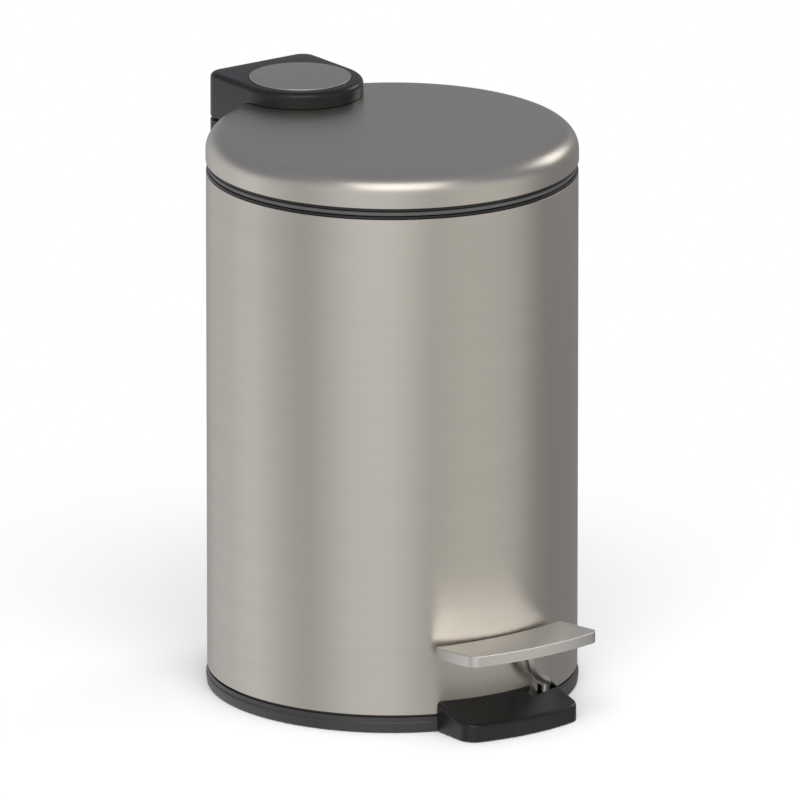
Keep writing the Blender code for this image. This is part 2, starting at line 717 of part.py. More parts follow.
def make_bail(steel):
    """The wire handle, lying on the rim round the front half."""
    pivot = make_pivot("bail_axis", (0, 0, BAIL_AXIS_HEIGHT))
    radius = LUG_OUTER - LUG_THICKNESS - GAP * 2 - BAIL_WIRE
    steps = ROUND_STEPS // 3
    bow = [(radius * math.cos(a), radius * math.sin(a), BAIL_AXIS_HEIGHT)
           for a in np.linspace(math.pi, math.tau, steps + 1)]
    tip = LUG_OUTER + GAP
    ends = [(-tip, 0, BAIL_AXIS_HEIGHT)], [(tip, 0, BAIL_AXIS_HEIGHT)]
    knees = ([(-radius - BAIL_WIRE / 2, 0, BAIL_AXIS_HEIGHT)],
             [(radius + BAIL_WIRE / 2, 0, BAIL_AXIS_HEIGHT)])
    path = ends[0] + knees[0] + bow[1:-1] + knees[1] + ends[1]
    section = round_section(BAIL_WIRE / 2, WIRE_STEPS)
    return make_object("bucket_bail", swept(path, section, Vector((0, 0, 1))), steel,
                       (0, 0, BAIL_AXIS_HEIGHT), pivot)


# Lid

def lid_outline(inset):
    """The lid's upper outline from the middle to the skirt, moved inwards."""
    flat = LID_RADIUS - LID_SHOULDER_RUN
    base = LID_TOP - LID_SHOULDER_RISE
    run = LID_SHOULDER_RUN - inset
    rise = LID_SHOULDER_RISE - inset
    angles = np.linspace(math.pi / 2, 0.0, SHOULDER_STEPS + 1)
    return [(flat + run * math.cos(a), base + rise * math.sin(a)) for a in angles]


def make_lid(steel, pivot):
    """The pressed steel lid, open under the hinge cover for the arm and the screws."""
    outer = lid_outline(0)
    inner = lid_outline(LID_WALL)
    profile = [(0, LID_TOP)] + outer + [(LID_RADIUS, LID_FOOT)]
    profile += [(LID_RADIUS - LID_WALL, LID_FOOT)] + inner[::-1] + [(0, LID_TOP - LID_WALL)]
    lid = make_object("lid_shell", revolved(profile), steel, pivot.location, pivot)
    cut(lid, arm_notch(), "arm_notch")
    for side in (-1, 1):
        cut(lid, lid_screw_hole(side), "screw_hole")
    return lid


def arm_notch():
    """The notch in the back of the skirt that the hinge arm passes through."""
    return block((-NOTCH_HALF_WIDTH, BODY_RADIUS * 3 / 4, RIM_TOP),
                 (NOTCH_HALF_WIDTH, BOX_REAR, LID_FOOT + NOTCH_HEIGHT))


def lid_screw_hole(side):
    """The hole for a lid screw, through the arm's pad, the liner and the lid."""
    x = side * LID_SCREW_X
    return rod((x, LID_SCREW_Y, LINER_UNDER - ARM_PAD_THICKNESS - OVERRUN),
               (x, LID_SCREW_Y, LID_TOP + OVERRUN), SCREW_RADIUS + HOLE_PLAY)


def make_liner(plastic, pivot):
    """The moulded inner lid, whose skirt rests on the bucket's rim."""
    outer = lid_outline(LID_WALL + GAP)
    inner = lid_outline(LID_WALL + GAP + LINER_WALL)
    foot = RIM_TOP + GAP
    profile = [(0, LINER_TOP)] + outer + [(LINER_RADIUS, foot)]
    profile += [(LINER_RADIUS - LINER_WALL, foot)] + inner[::-1] + [(0, LINER_UNDER)]
    liner = make_object("lid_liner", revolved(profile), plastic, pivot.location, pivot)
    cut(liner, block((-NOTCH_HALF_WIDTH, BODY_RADIUS * 3 / 4, LID_FOOT - OVERRUN),
                     (NOTCH_HALF_WIDTH, BOX_REAR, LID_FOOT + NOTCH_HEIGHT)), "arm_notch")
    for side in (-1, 1):
        cut(liner, lid_screw_hole(side), "screw_hole")
    return liner


# Hinge box

def box_outline(inset, with_nose):
    """Plan of the hinge box: round rear corners and, on the cover, a round nose."""
    half = BOX_HALF_WIDTH - inset
    rear = BOX_REAR - inset
    corner = BOX_CORNER - inset
    points = arc((half - corner, rear - corner), corner, 0, 90, CORNER_STEPS)
    points += arc((corner - half, rear - corner), corner, 90, 180, CORNER_STEPS)
    if with_nose:
        points += arc((0, BADGE_Y), half, 180, 360, NOSE_STEPS)
    else:
        points += [(-half, BODY_RADIUS / 2), (half, BODY_RADIUS / 2)]
    return points


def lid_space():
    """The lid's outside with a gap all round, for cutting the cover's lower edge."""
    outer = lid_outline(-GAP)
    profile = [(0, LID_TOP + GAP)] + outer
    profile += [(LID_RADIUS + GAP, RIM_FOOT), (0, RIM_FOOT)]
    return revolved(profile)


def make_cover(plastic, pivot):
    """The upper half of the hinge box, which rides on the lid."""
    work = prism(box_outline(0, True), COVER_FOOT, COVER_TOP)

    def is_top(edge):
        return min(vert.co.z for vert in edge.verts) > COVER_TOP - GAP

    def is_foot(edge):
        return max(vert.co.z for vert in edge.verts) < COVER_FOOT + GAP

    bevelled(work, is_top, BOX_EDGE, 3)
    bevelled(work, is_foot, COVER_FOOT_EDGE, 2)
    cover = make_object("hinge_cover", work, plastic, pivot.location, pivot)
    ceiling = COVER_TOP - BADGE_THICKNESS + BADGE_PROUD - GAP - COVER_CEILING
    cut(cover, prism(box_outline(BOX_WALL, True), COVER_FOOT - OVERRUN, ceiling), "hollow")
    for side in (-1, 1):
        x = side * LID_SCREW_X
        fuse(cover, rod((x, LID_SCREW_Y, LID_TOP + GAP),
                        (x, LID_SCREW_Y, ceiling + COVER_CEILING / 2), BOSS_RADIUS), "boss")
    cut(cover, lid_space(), "lid_space")
    reach = KNUCKLE_RADIUS + GAP * 2
    cut(cover, block((-EAR_END - GAP, AXIS_Y - reach, COVER_FOOT - OVERRUN),
                     (EAR_END + GAP, BOX_REAR + OVERRUN, AXIS_Z + reach)), "knuckle_space")
    cut(cover, rod((0, BADGE_Y, COVER_TOP - BADGE_THICKNESS + BADGE_PROUD - GAP),
                   (0, BADGE_Y, COVER_TOP + OVERRUN), BADGE_RADIUS + GAP, ROUND_STEPS // 2),
        "badge_recess")
    for side in (-1, 1):
        x = side * LID_SCREW_X
        cut(cover, rod((x, LID_SCREW_Y, LID_TOP - OVERRUN),
                       (x, LID_SCREW_Y, LID_TOP + SCREW_BITE + GAP),
                       SCREW_RADIUS + HOLE_PLAY), "pilot")
    return cover


def make_badge(metal, pivot):
    """The plain round plate let into the cover's top."""
    top = COVER_TOP + BADGE_PROUD
    foot = top - BADGE_THICKNESS
    work = rod((0, BADGE_Y, foot), (0, BADGE_Y, top), BADGE_RADIUS, ROUND_STEPS // 2)

    def is_top(edge):
        return min(vert.co.z for vert in edge.verts) > top - GAP

    bevelled(work, is_top, BADGE_EDGE, 2)
    return make_object("badge_disc", work, metal, (0, BADGE_Y, foot), pivot)


def make_housing(plastic):
    """The lower half of the hinge box, fixed behind the body."""
    work = prism(box_outline(0, False), HOUSING_FOOT, HOUSING_TOP)

    def is_foot(edge):
        return max(vert.co.z for vert in edge.verts) < HOUSING_FOOT + GAP

    bevelled(work, is_foot, BOX_EDGE, 2)
    housing = make_object("hinge_housing", work, plastic, (0, BODY_RADIUS, HOUSING_FOOT))
    cut(housing, prism(box_outline(BOX_WALL, False), HOUSING_FOOT + HOUSING_FLOOR,
                       HOUSING_TOP + OVERRUN), "hollow")
    for side in (-1, 1):
        x = side * HOUSING_SCREW_X
        fuse(housing, rod((x, BODY_RADIUS - BOX_WALL, housing_screw_height()),
                          (x, BOX_REAR - BOX_WALL / 2, housing_screw_height()),
                          HOUSING_BOSS_RADIUS), "boss")
        fuse(housing, hinge_ear(side), "ear")
    space = [(BODY_RADIUS + GAP, HOUSING_TOP + LID_SKIRT * 2),
             (BODY_RADIUS + GAP, HOUSING_FOOT - OVERRUN),
             (0, HOUSING_FOOT - OVERRUN), (0, HOUSING_TOP + LID_SKIRT * 2)]
    cut(housing, revolved(space), "body_space")
    cut(housing, rod((-EAR_END - OVERRUN, AXIS_Y, AXIS_Z), (EAR_END + OVERRUN, AXIS_Y, AXIS_Z),
                     PIN_RADIUS + HOLE_PLAY), "pin_hole")
    for side in (-1, 1):
        x = side * HOUSING_SCREW_X
        cut(housing, rod((x, BODY_RADIUS / 2, housing_screw_height()),
                         (x, BODY_RADIUS + SCREW_BITE + GAP, housing_screw_height()),
                         SCREW_RADIUS + HOLE_PLAY), "pilot")
    return housing


def hinge_ear(side):
    """An ear that rises out of the rear wall and holds one end of the pin."""
    low, high = sorted((side * EAR_START, side * EAR_END))
    radius = KNUCKLE_RADIUS
    foot = HOUSING_TOP - radius * 4
    outline = arc((AXIS_Y, AXIS_Z), radius, 0, 180, PIN_STEPS // 2)
    outline += [(AXIS_Y - radius, HOUSING_TOP - radius), (AXIS_Y, foot), (AXIS_Y + radius, foot)]
    return prism(outline, low, high, "X")


def make_pin(steel):
    """The pin that the lid turns on."""
    return make_object("hinge_pin", rod((-EAR_END, AXIS_Y, AXIS_Z), (EAR_END, AXIS_Y, AXIS_Z),
                                        PIN_RADIUS), steel, (0, AXIS_Y, AXIS_Z))


def make_arm(plastic, pivot):
    """The hinge arm: knuckle, web, pad under the liner and the slotted crank."""
    web_top = AXIS_Z + ARM_WEB_HEIGHT / 2 + GAP
    web_foot = web_top - ARM_WEB_HEIGHT
    pad_top = LINER_UNDER - GAP
    pad_foot = pad_top - ARM_PAD_THICKNESS
    pad_rear = LID_SCREW_Y + ARM_PAD_LENGTH / 2
    pad_front = LID_SCREW_Y - ARM_PAD_LENGTH / 2
    shoulder = BODY_RADIUS - SPIGOT_WALL * 2
    outline = arc((AXIS_Y, AXIS_Z), KNUCKLE_RADIUS, -100, 100, PIN_STEPS)
    outline += [(shoulder, web_top), (pad_rear, pad_top), (pad_front, pad_top),
                (pad_front, pad_foot), (pad_rear, pad_foot - ARM_PAD_THICKNESS),
                (shoulder, web_foot)]
    arm = make_object("hinge_arm", prism(outline, -ARM_HALF_WIDTH, ARM_HALF_WIDTH, "X"),
                      plastic, pivot.location, pivot)
    fuse(arm, block((-ARM_PAD_HALF_WIDTH, pad_front, pad_foot),
                    (ARM_PAD_HALF_WIDTH, pad_rear, pad_top)), "pad")
    fuse(arm, crank_finger(), "crank")
    cut(arm, crank_slot(), "crank_slot")
    cut(arm, rod((-ARM_PAD_HALF_WIDTH, AXIS_Y, AXIS_Z), (ARM_PAD_HALF_WIDTH, AXIS_Y, AXIS_Z),
                 PIN_RADIUS + HOLE_PLAY), "pin_hole")
    for side in (-1, 1):
        cut(arm, lid_screw_hole(side), "screw_hole")
    return arm


def slot_half_width():
    """Half the width of the crank's slot."""
    return ROD_WIRE / 2 + CRANK_PLAY


def crank_shape(start, end, half, tip_half):
    """A round-ended strip along the crank, turned down by half the swing."""
    way = CRANK_SWING / 2
    ahead = Vector((-math.cos(way), -math.sin(way)))
    across = Vector((-ahead.y, ahead.x))
    hub = Vector((AXIS_Y, AXIS_Z))
    near = hub + ahead * start
    far = hub + ahead * end
    degrees = math.degrees(math.atan2(ahead.y, ahead.x))
    points = [tuple(near + across * half), tuple(near - across * half)]
    return points + arc(far, tip_half, degrees - 90, degrees + 90, PIN_STEPS // 2)


def crank_finger():
    """The finger that hangs from the knuckle towards the rod."""
    reach = CRANK_REACH / math.cos(CRANK_SWING / 2)
    half = slot_half_width() + CRANK_RIM
    outline = crank_shape(KNUCKLE_RADIUS / 2, reach, KNUCKLE_RADIUS / 2, half)
    return prism(outline, CRANK_START, CRANK_START + CRANK_THICKNESS, "X")


def crank_slot():
    """The slot along the finger that the rod's pin slides in."""
    reach = CRANK_REACH / math.cos(CRANK_SWING / 2)
    half = slot_half_width()
    outline = crank_shape(CRANK_REACH - half, reach, half, half)
    return prism(outline, CRANK_START - OVERRUN / 2,
                 CRANK_START + CRANK_THICKNESS + OVERRUN / 2, "X")


# Lift rod

def make_rod(steel):
    """The wire from the lever up the back wall and out to the crank."""
    pivot = make_pivot("rod_slide", (0, ROD_Y, ROD_FOOT))
    path = [(ROD_PIN_LENGTH, ROD_Y, ROD_FOOT), (0, ROD_Y, ROD_FOOT),
            (0, ROD_Y, ROD_JOG_HEIGHT), (0, ROD_REAR_Y, ROD_JOG_HEIGHT),
            (0, ROD_REAR_Y, ROD_TOP), (ROD_PIN_LENGTH, ROD_REAR_Y, ROD_TOP)]
    return make_object("lift_rod", wire(path, ROD_WIRE, ROD_WIRE / 2 + GAP), steel,
                       (0, ROD_Y, ROD_FOOT), pivot)


def make_bracket(plastic):
    """The backing plate inside the shell, with the rod's upper guide."""
    outer = BODY_RADIUS - SHELL_WALL - GAP
    inner = outer - BRACKET_WALL
    low = housing_screw_height() - HOUSING_BOSS_RADIUS - BRACKET_MARGIN
    high = housing_screw_height() + HOUSING_BOSS_RADIUS
    half_angle = math.asin(BRACKET_HALF_WIDTH / BODY_RADIUS)
    profile = [(outer, high), (outer, low), (inner, low), (inner, high)]
    work = sector(profile, half_angle)
    bmesh.ops.rotate(work, cent=(0, 0, 0), matrix=Matrix.Rotation(math.pi, 3, "Z"),
                     verts=work.verts)
    bracket = make_object("rod_bracket", work, plastic, (0, BODY_RADIUS, low))
    half = ROD_WIRE / 2 + OVERRUN / 2
    cut(bracket, block((-half, BODY_RADIUS / 2, ROD_JOG_HEIGHT - half),
                       (half, BOX_REAR, high + OVERRUN)), "rod_slot")
    front = ROD_Y - ROD_WIRE / 2 - GUIDE_WALL
    guide_top = low + GUIDE_HEIGHT / 2
    fuse(bracket, block((-GUIDE_WIDTH / 2, front, guide_top - GUIDE_HEIGHT),
                        (GUIDE_WIDTH / 2, inner + BRACKET_WALL / 2, guide_top)), "guide")
    cut(bracket, rod((0, ROD_Y, guide_top - GUIDE_HEIGHT - OVERRUN),
                     (0, ROD_Y, guide_top + OVERRUN), ROD_WIRE / 2 + HOLE_PLAY), "rod_hole")
    for side in (-1, 1):
        x = side * HOUSING_SCREW_X
        cut(bracket, rod((x, BODY_RADIUS / 2, housing_screw_height()),
                         (x, BOX_REAR, housing_screw_height()), SCREW_RADIUS + HOLE_PLAY),
            "screw_hole")
    return bracket


# Pedal

def on_circle(x, radius):
    """Y on the front half of a circle about the axis."""
    return -math.sqrt(radius ** 2 - x ** 2)


def lever_path():
    """The lever's middle line, from the plate down and back to the rod."""
    pad_foot = PLATE_TOP - PLATE_WALL - PLATE_BOSS_HEIGHT - GAP - PAD_THICKNESS
    top = Vector((ARM_TOP_X, on_circle(ARM_TOP_X, BODY_RADIUS + ARM_TOP_OUT),
                  pad_foot + PAD_THICKNESS / 2))
    foot = Vector((ARM_FOOT_X, on_circle(ARM_FOOT_X, BODY_RADIUS + ARM_FOOT_OUT),
                   ARM_FOOT_HEIGHT))
    bend = top + (foot - top) * Vector(ARM_BEND_SHARES)
    path = []
    for share in np.linspace(0.0, 1.0, ARM_STEPS + 1):
        path.append(top * (1 - share) ** 2 + bend * 2 * share * (1 - share)
                    + foot * share ** 2)
    crossing_y = on_circle(CROSSING_X, BODY_RADIUS + LEVER_THICKNESS / 2)
    path.append(Vector((CROSSING_X, crossing_y, CROSSING_HEIGHT)))
    path.append(Vector((CROSSING_X, crossing_y + CROSSING_RUN, CROSSING_HEIGHT)))
    path.append(Vector((PIVOT_X, PIVOT_Y, PIVOT_HEIGHT)))
    reach = LEVER_LENGTH * math.cos(LEVER_TILT)
    path.append(Vector((LEVER_EYE_X, PIVOT_Y + reach, ROD_FOOT)))
    return path


def pressed_path():
    """The lever's middle line with the pedal pressed right down."""
    pivot = Vector((PIVOT_X, PIVOT_Y, PIVOT_HEIGHT))
    turn = Matrix.Rotation(2 * LEVER_TILT, 3, "X")
    return [pivot + turn @ (point - pivot) for point in lever_path()]


def make_lever(metal, pivot):
    """The bent bar with its pad, pivot boss and rod eye."""
    path = lever_path()
    section = bar_section(LEVER_WIDTH, LEVER_THICKNESS, LEVER_EDGE)
    lever = make_object("pedal_lever", swept(path, section, Vector((1, 0, 0))), metal,
                        pivot.location, pivot)
    pad_foot = path[0].z - PAD_THICKNESS / 2
    fuse(lever, block((ARM_TOP_X - PAD_LENGTH / 2, path[0].y - PAD_DEPTH / 2, pad_foot),
                      (ARM_TOP_X + PAD_LENGTH / 2, path[0].y + PAD_DEPTH / 2,
                       pad_foot + PAD_THICKNESS)), "pad")
    half = PIVOT_BOSS_LENGTH / 2
    fuse(lever, rod((PIVOT_X - half, PIVOT_Y, PIVOT_HEIGHT),
                    (PIVOT_X + half, PIVOT_Y, PIVOT_HEIGHT), PIVOT_BOSS_RADIUS,
                    PIN_STEPS * 2), "boss")
    eye = path[-1]
    half = LEVER_EYE_LENGTH / 2
    fuse(lever, rod((eye.x - half, eye.y, eye.z), (eye.x + half, eye.y, eye.z),
                    LEVER_EYE_RADIUS, PIN_STEPS * 2), "eye")
    cut(lever, rod((PIVOT_X - PIVOT_BOSS_LENGTH, PIVOT_Y, PIVOT_HEIGHT),
                   (PIVOT_X + PIVOT_BOSS_LENGTH, PIVOT_Y, PIVOT_HEIGHT),
                   PIVOT_PIN_RADIUS + HOLE_PLAY), "pin_hole")
    cut(lever, eye_slot(eye), "eye_slot")
    for side in (-1, 1):
        cut(lever, pedal_screw_hole(side), "screw_hole")
    return lever


def eye_slot(eye):
    """The slot in the lever's end, long enough for the arc that it moves in."""
    radius = ROD_WIRE / 2 + HOLE_PLAY
    front = eye.y - LEVER_EYE_PLAY / 2
    rear = eye.y + LEVER_EYE_PLAY
    outline = arc((rear, eye.z), radius, -90, 90, PIN_STEPS // 2)
    outline += arc((front, eye.z), radius, 90, 270, PIN_STEPS // 2)
    return prism(outline, eye.x - LEVER_EYE_LENGTH, eye.x + LEVER_EYE_LENGTH, "X")


def pedal_screw_place(side):
    """Where a pedal screw's head meets the lever's pad."""
    path_top = lever_path()[0]
    x = ARM_TOP_X + side * (PAD_LENGTH / 2 - PLATE_BOSS_RADIUS - GAP)
    return Vector((x, path_top.y, path_top.z - PAD_THICKNESS / 2))


def pedal_screw_hole(side):
    """The hole for a pedal screw, through the pad and up into the plate's boss."""
    place = pedal_screw_place(side)
    top = PLATE_TOP - PLATE_WALL
    return rod((place.x, place.y, place.z - OVERRUN), (place.x, place.y, top),
               SCREW_RADIUS + HOLE_PLAY)


def plate_rise(y):
    """How far the plate's slope has lifted it at y."""
    return PLATE_RISE * (-y - PLATE_INNER) / PLATE_REACH


def raised(work):
    """Slope a part of the plate, higher in front."""
    for vert in work.verts:
        vert.co.z += plate_rise(vert.co.y)
    return work


def make_plate(metal, pivot):
    """The pedal plate: pressed, with turned-down edges and two bosses."""
    foot = PLATE_TOP - PLATE_HEIGHT
    work = rounded_bar(((PLATE_INNER, PLATE_REAR_BOW), (PLATE_OUTER, PLATE_FRONT_BOW)),
                       (foot, PLATE_TOP, PLATE_TOP), PLATE_HALF_WIDTH,
                       (PLATE_REAR_CORNER, PLATE_FRONT_CORNER), PLATE_EDGE)
    plate = make_object("pedal_plate", raised(work), metal, pivot.location, pivot)
    under = PLATE_TOP - PLATE_WALL
    hollow = rounded_bar(((PLATE_INNER + PLATE_WALL, PLATE_REAR_BOW + PLATE_WALL),
                          (PLATE_OUTER - PLATE_WALL, PLATE_FRONT_BOW - PLATE_WALL)),
                         (foot - OVERRUN, under, under), PLATE_HALF_WIDTH - PLATE_WALL,
                         (PLATE_REAR_CORNER - PLATE_WALL, PLATE_FRONT_CORNER - PLATE_WALL),
                         PLATE_EDGE)
    cut(plate, raised(hollow), "hollow")
    for side in (-1, 1):
        place = pedal_screw_place(side)
        top = under + plate_rise(place.y) + PLATE_WALL / 2
        fuse(plate, rod((place.x, place.y, under - PLATE_BOSS_HEIGHT),
                        (place.x, place.y, top), PLATE_BOSS_RADIUS), "boss")
        cut(plate, pedal_screw_hole(side), "pilot")
    return plate


def make_block(plastic):
    """The pedal housing in front of the ring, hollow, with a gate for the arm."""
    item = make_object("pedal_housing", sloped_bar(0), plastic,
                       (0, -BODY_RADIUS, BLOCK_LIFT))
    cut(item, sloped_bar(BLOCK_WALL), "hollow")
    for x in BLOCK_BOSS_PLACES:
        fuse(item, radial_rod(boss_angle(x), BLOCK_SCREW_HEIGHT, BLOCK_INNER,
                              BLOCK_INNER + BLOCK_BOSS_LENGTH, BLOCK_BOSS_RADIUS), "boss")
        fuse(item, boss_rib(boss_angle(x)), "rib")
    cut(item, arm_gate(), "arm_gate")
    for x in BLOCK_BOSS_PLACES:
        cut(item, radial_rod(boss_angle(x), BLOCK_SCREW_HEIGHT, BLOCK_INNER - OVERRUN,
                             BLOCK_INNER + SCREW_BITE + GAP, SCREW_RADIUS + HOLE_PLAY),
            "pilot")
    return item


def sloped_bar(inset):
    """The housing's body, whose top falls from the steel to the front."""
    inner = BLOCK_INNER if inset == 0 else BLOCK_INNER - OVERRUN
    low = BLOCK_LIFT if inset == 0 else BLOCK_LIFT - OVERRUN
    outer = BLOCK_OUTER - inset
    tops = block_top(inner) - inset, block_top(outer) - inset
    return rounded_bar(((inner, inner), (outer, outer)), (low, *tops),
                       BLOCK_HALF_WIDTH - inset, (0, BLOCK_CORNER - inset), BLOCK_EDGE)


def boss_rib(angle):
    """The rib that ties a boss to the housing's top."""
    way = Vector((math.sin(angle), -math.cos(angle), 0))
    work = block((-BLOCK_WALL / 2, BLOCK_WALL / 2, 0),
                 (BLOCK_WALL / 2, BLOCK_BOSS_LENGTH - BLOCK_WALL / 2,
                  BLOCK_REAR_HEIGHT - BLOCK_SCREW_HEIGHT - BLOCK_WALL * 2))
    turn = Matrix.Rotation(angle + math.pi, 3, "Z")
    bmesh.ops.rotate(work, cent=(0, 0, 0), matrix=turn, verts=work.verts)
    lift = Vector((0, 0, BLOCK_SCREW_HEIGHT + BLOCK_BOSS_RADIUS / 2))
    bmesh.ops.translate(work, vec=way * BLOCK_INNER + lift, verts=work.verts)
    return work


def arm_gate():
    """The opening in the housing's top that the arm moves down into."""
    reach = LEVER_THICKNESS / 2 + GATE_PLAY
    low = [point for point in pressed_path()
           if point.z - reach < block_top(point.xy.length)]
    left = min(point.x for point in low) - LEVER_WIDTH / 2
    front = min(point.y for point in low)
    right = CROSSING_X + LEVER_WIDTH / 2 + CROSSING_PLAY
    right_front = on_circle(ARM_FOOT_X, BODY_RADIUS + ARM_FOOT_OUT) - reach
    back = -BODY_RADIUS / 2
    edge_y = on_circle(GATE_EDGE_X, BLOCK_INNER + GATE_EDGE_DEPTH)
    return prism([(left, front - reach), (right, right_front), (right, back),
                  (GATE_EDGE_X, back), (GATE_EDGE_X, edge_y), (left, front + reach)],
                 BLOCK_FRONT_HEIGHT - BLOCK_WALL, BLOCK_REAR_HEIGHT + OVERRUN)


def block_top(radius):
    """Height of the housing's top at a radius."""
    fall = (BLOCK_REAR_HEIGHT - BLOCK_FRONT_HEIGHT) / BLOCK_REACH
    return BLOCK_REAR_HEIGHT - fall * (radius - BLOCK_INNER)


def make_pivot_pin(steel):
    """The headed pin of the lever's pivot."""
    half = PIVOT_BOSS_LENGTH / 2 + GAP + BRACKET_EAR
    start = (PIVOT_X - half, PIVOT_Y, PIVOT_HEIGHT)
    end = (PIVOT_X + half + GAP, PIVOT_Y, PIVOT_HEIGHT)
    item = make_object("lever_pin", rod(start, (end[0] + PIN_HEAD, PIVOT_Y, PIVOT_HEIGHT),
                                        PIVOT_PIN_RADIUS), steel,
                       (PIVOT_X, PIVOT_Y, PIVOT_HEIGHT))
    fuse(item, rod(end, (end[0] + PIN_HEAD, PIVOT_Y, PIVOT_HEIGHT), PIN_HEAD_RADIUS), "head")
    return item


def make_screws(steel, lid_pivot, pedal_pivot):
    """The screws of the lid stack, the hinge housing, the pedal and its housing."""
    for side, word, boss_x in ((-1, "left", BLOCK_BOSS_PLACES[0]),
                               (1, "right", BLOCK_BOSS_PLACES[1])):
        face = (side * LID_SCREW_X, LID_SCREW_Y, LINER_UNDER - GAP * 2 - ARM_PAD_THICKNESS)
        screw("lid_screw_" + word, face, (0, 0, 1), LID_TOP + SCREW_BITE - face[2], steel,
              lid_pivot)
        reach = math.sqrt((BODY_RADIUS - SHELL_WALL - GAP - BRACKET_WALL) ** 2
                          - (HOUSING_SCREW_X + SCREW_HEAD_RADIUS) ** 2)
        face = (side * HOUSING_SCREW_X, reach - GAP, housing_screw_height())
        screw("housing_screw_" + word, face, (0, 1, 0), BODY_RADIUS + SCREW_BITE - face[1],
              steel)
        place = pedal_screw_place(side)
        face = (place.x, place.y, place.z - GAP)
        screw("pedal_screw_" + word, face, (0, 0, 1), PLATE_TOP - PLATE_WALL - GAP - face[2],
              steel, pedal_pivot)
        angle = boss_angle(boss_x)
        way = Vector((math.sin(angle), -math.cos(angle), 0))
        start = SPIGOT_INNER - GAP * 2
        screw("block_screw_" + word, way * start + Vector((0, 0, BLOCK_SCREW_HEIGHT)), way,
              BLOCK_INNER + SCREW_BITE - start, steel)


def main():
    """Build the bin."""
    clear_scene()
    brushed = make_material("brushed_steel", (0.58, 0.55, 0.50), 0.34, 1.0)
    black = make_material("black_plastic", (0.028, 0.027, 0.027), 0.45, 0.0)
    rubber = make_material("foot_rubber", (0.02, 0.02, 0.02), 0.8, 0.0)
    bucket_grey = make_material("bucket_plastic", (0.05, 0.05, 0.052), 0.5, 0.0)
    satin = make_material("satin_metal", (0.62, 0.61, 0.59), 0.3, 1.0)
    wire_steel = make_material("bright_wire", (0.55, 0.55, 0.56), 0.25, 1.0)
    lid_pivot = make_pivot("lid_axis", (0, AXIS_Y, AXIS_Z))
    pedal_pivot = make_pivot("pedal_axis", (0, PIVOT_Y, PIVOT_HEIGHT))
    make_shell(brushed)
    make_pan(black)
    make_foot(rubber)
    make_collar(black)
    make_bucket(bucket_grey)
    make_bail(wire_steel)
    make_lid(brushed, lid_pivot)
    make_liner(black, lid_pivot)
    make_cover(black, lid_pivot)
    make_badge(satin, lid_pivot)
    make_arm(black, lid_pivot)
    make_housing(black)
    make_pin(wire_steel)
    make_rod(wire_steel)
    make_bracket(black)
    make_lever(satin, pedal_pivot)
    make_plate(satin, pedal_pivot)
    make_block(black)
    make_pivot_pin(wire_steel)
    make_screws(wire_steel, lid_pivot, pedal_pivot)


main()
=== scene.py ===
"""Dresses a small round pedal bin: brushed steel body and lid, black plastic
base and hinge box, satin pedal, and the bucket and linkage inside.

Metres, +Z up. The origin is on the body's axis at floor level, the pedal faces
-Y and the lid's hinge is at +Y. New pieces are numpy surfaces that stand where
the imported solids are.
"""
import logging
import math
from dataclasses import dataclass
from enum import Enum
from typing import Any, Sequence

import bmesh
import bpy
import numpy as np
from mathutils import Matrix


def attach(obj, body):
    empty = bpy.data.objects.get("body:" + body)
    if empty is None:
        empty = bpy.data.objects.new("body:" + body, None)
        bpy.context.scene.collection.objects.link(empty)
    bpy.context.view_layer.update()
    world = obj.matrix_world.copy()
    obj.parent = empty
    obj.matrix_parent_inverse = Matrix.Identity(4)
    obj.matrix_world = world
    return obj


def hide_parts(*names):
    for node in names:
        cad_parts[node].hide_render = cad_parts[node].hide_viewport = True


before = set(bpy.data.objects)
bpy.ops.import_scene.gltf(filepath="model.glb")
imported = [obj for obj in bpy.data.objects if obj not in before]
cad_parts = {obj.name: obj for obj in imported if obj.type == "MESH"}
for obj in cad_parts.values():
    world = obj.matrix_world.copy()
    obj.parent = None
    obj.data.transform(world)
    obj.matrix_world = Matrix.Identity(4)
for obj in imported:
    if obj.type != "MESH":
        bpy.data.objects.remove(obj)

log = logging.getLogger("pedal_bin")
Array = np.ndarray
Vec = Sequence[float]
Colour = tuple[float, float, float]
Piece = bpy.types.Object
SIDES = (-1, 1)          # left, right
MERGE = 1e-6             # points nearer than this become one, in metres
NEAR = 1e-7              # a length below this counts as none
QUARTER = math.pi / 2    # a right angle in radians
SOFT_ANGLE = 32.0        # edges sharper than this many degrees stay sharp
CUT_ANGLE = 38.0         # the same for pieces with many cuts
HOLE_STEPS = 24          # points round screw holes
SMALL_STEPS = 32         # points round pin holes, screws and small bosses
BOSS_STEPS = 40
PIN_STEPS = 48
EYE_STEPS = 64
WIRE_STEPS = 16          # points round a wire's section
EDGE_STEPS = 7           # levels of a quarter-round edge
END_COLUMNS = 28         # columns of a bowed bar in each rounded end
MIDDLE_COLUMNS = 72      # and between them, both outer ones included
DOME_STEPS = 9           # levels of a screw's head


# Geometry

class Join(Enum):
    """How a tool body is combined with a piece."""

    ADD = "UNION"
    CUT = "DIFFERENCE"


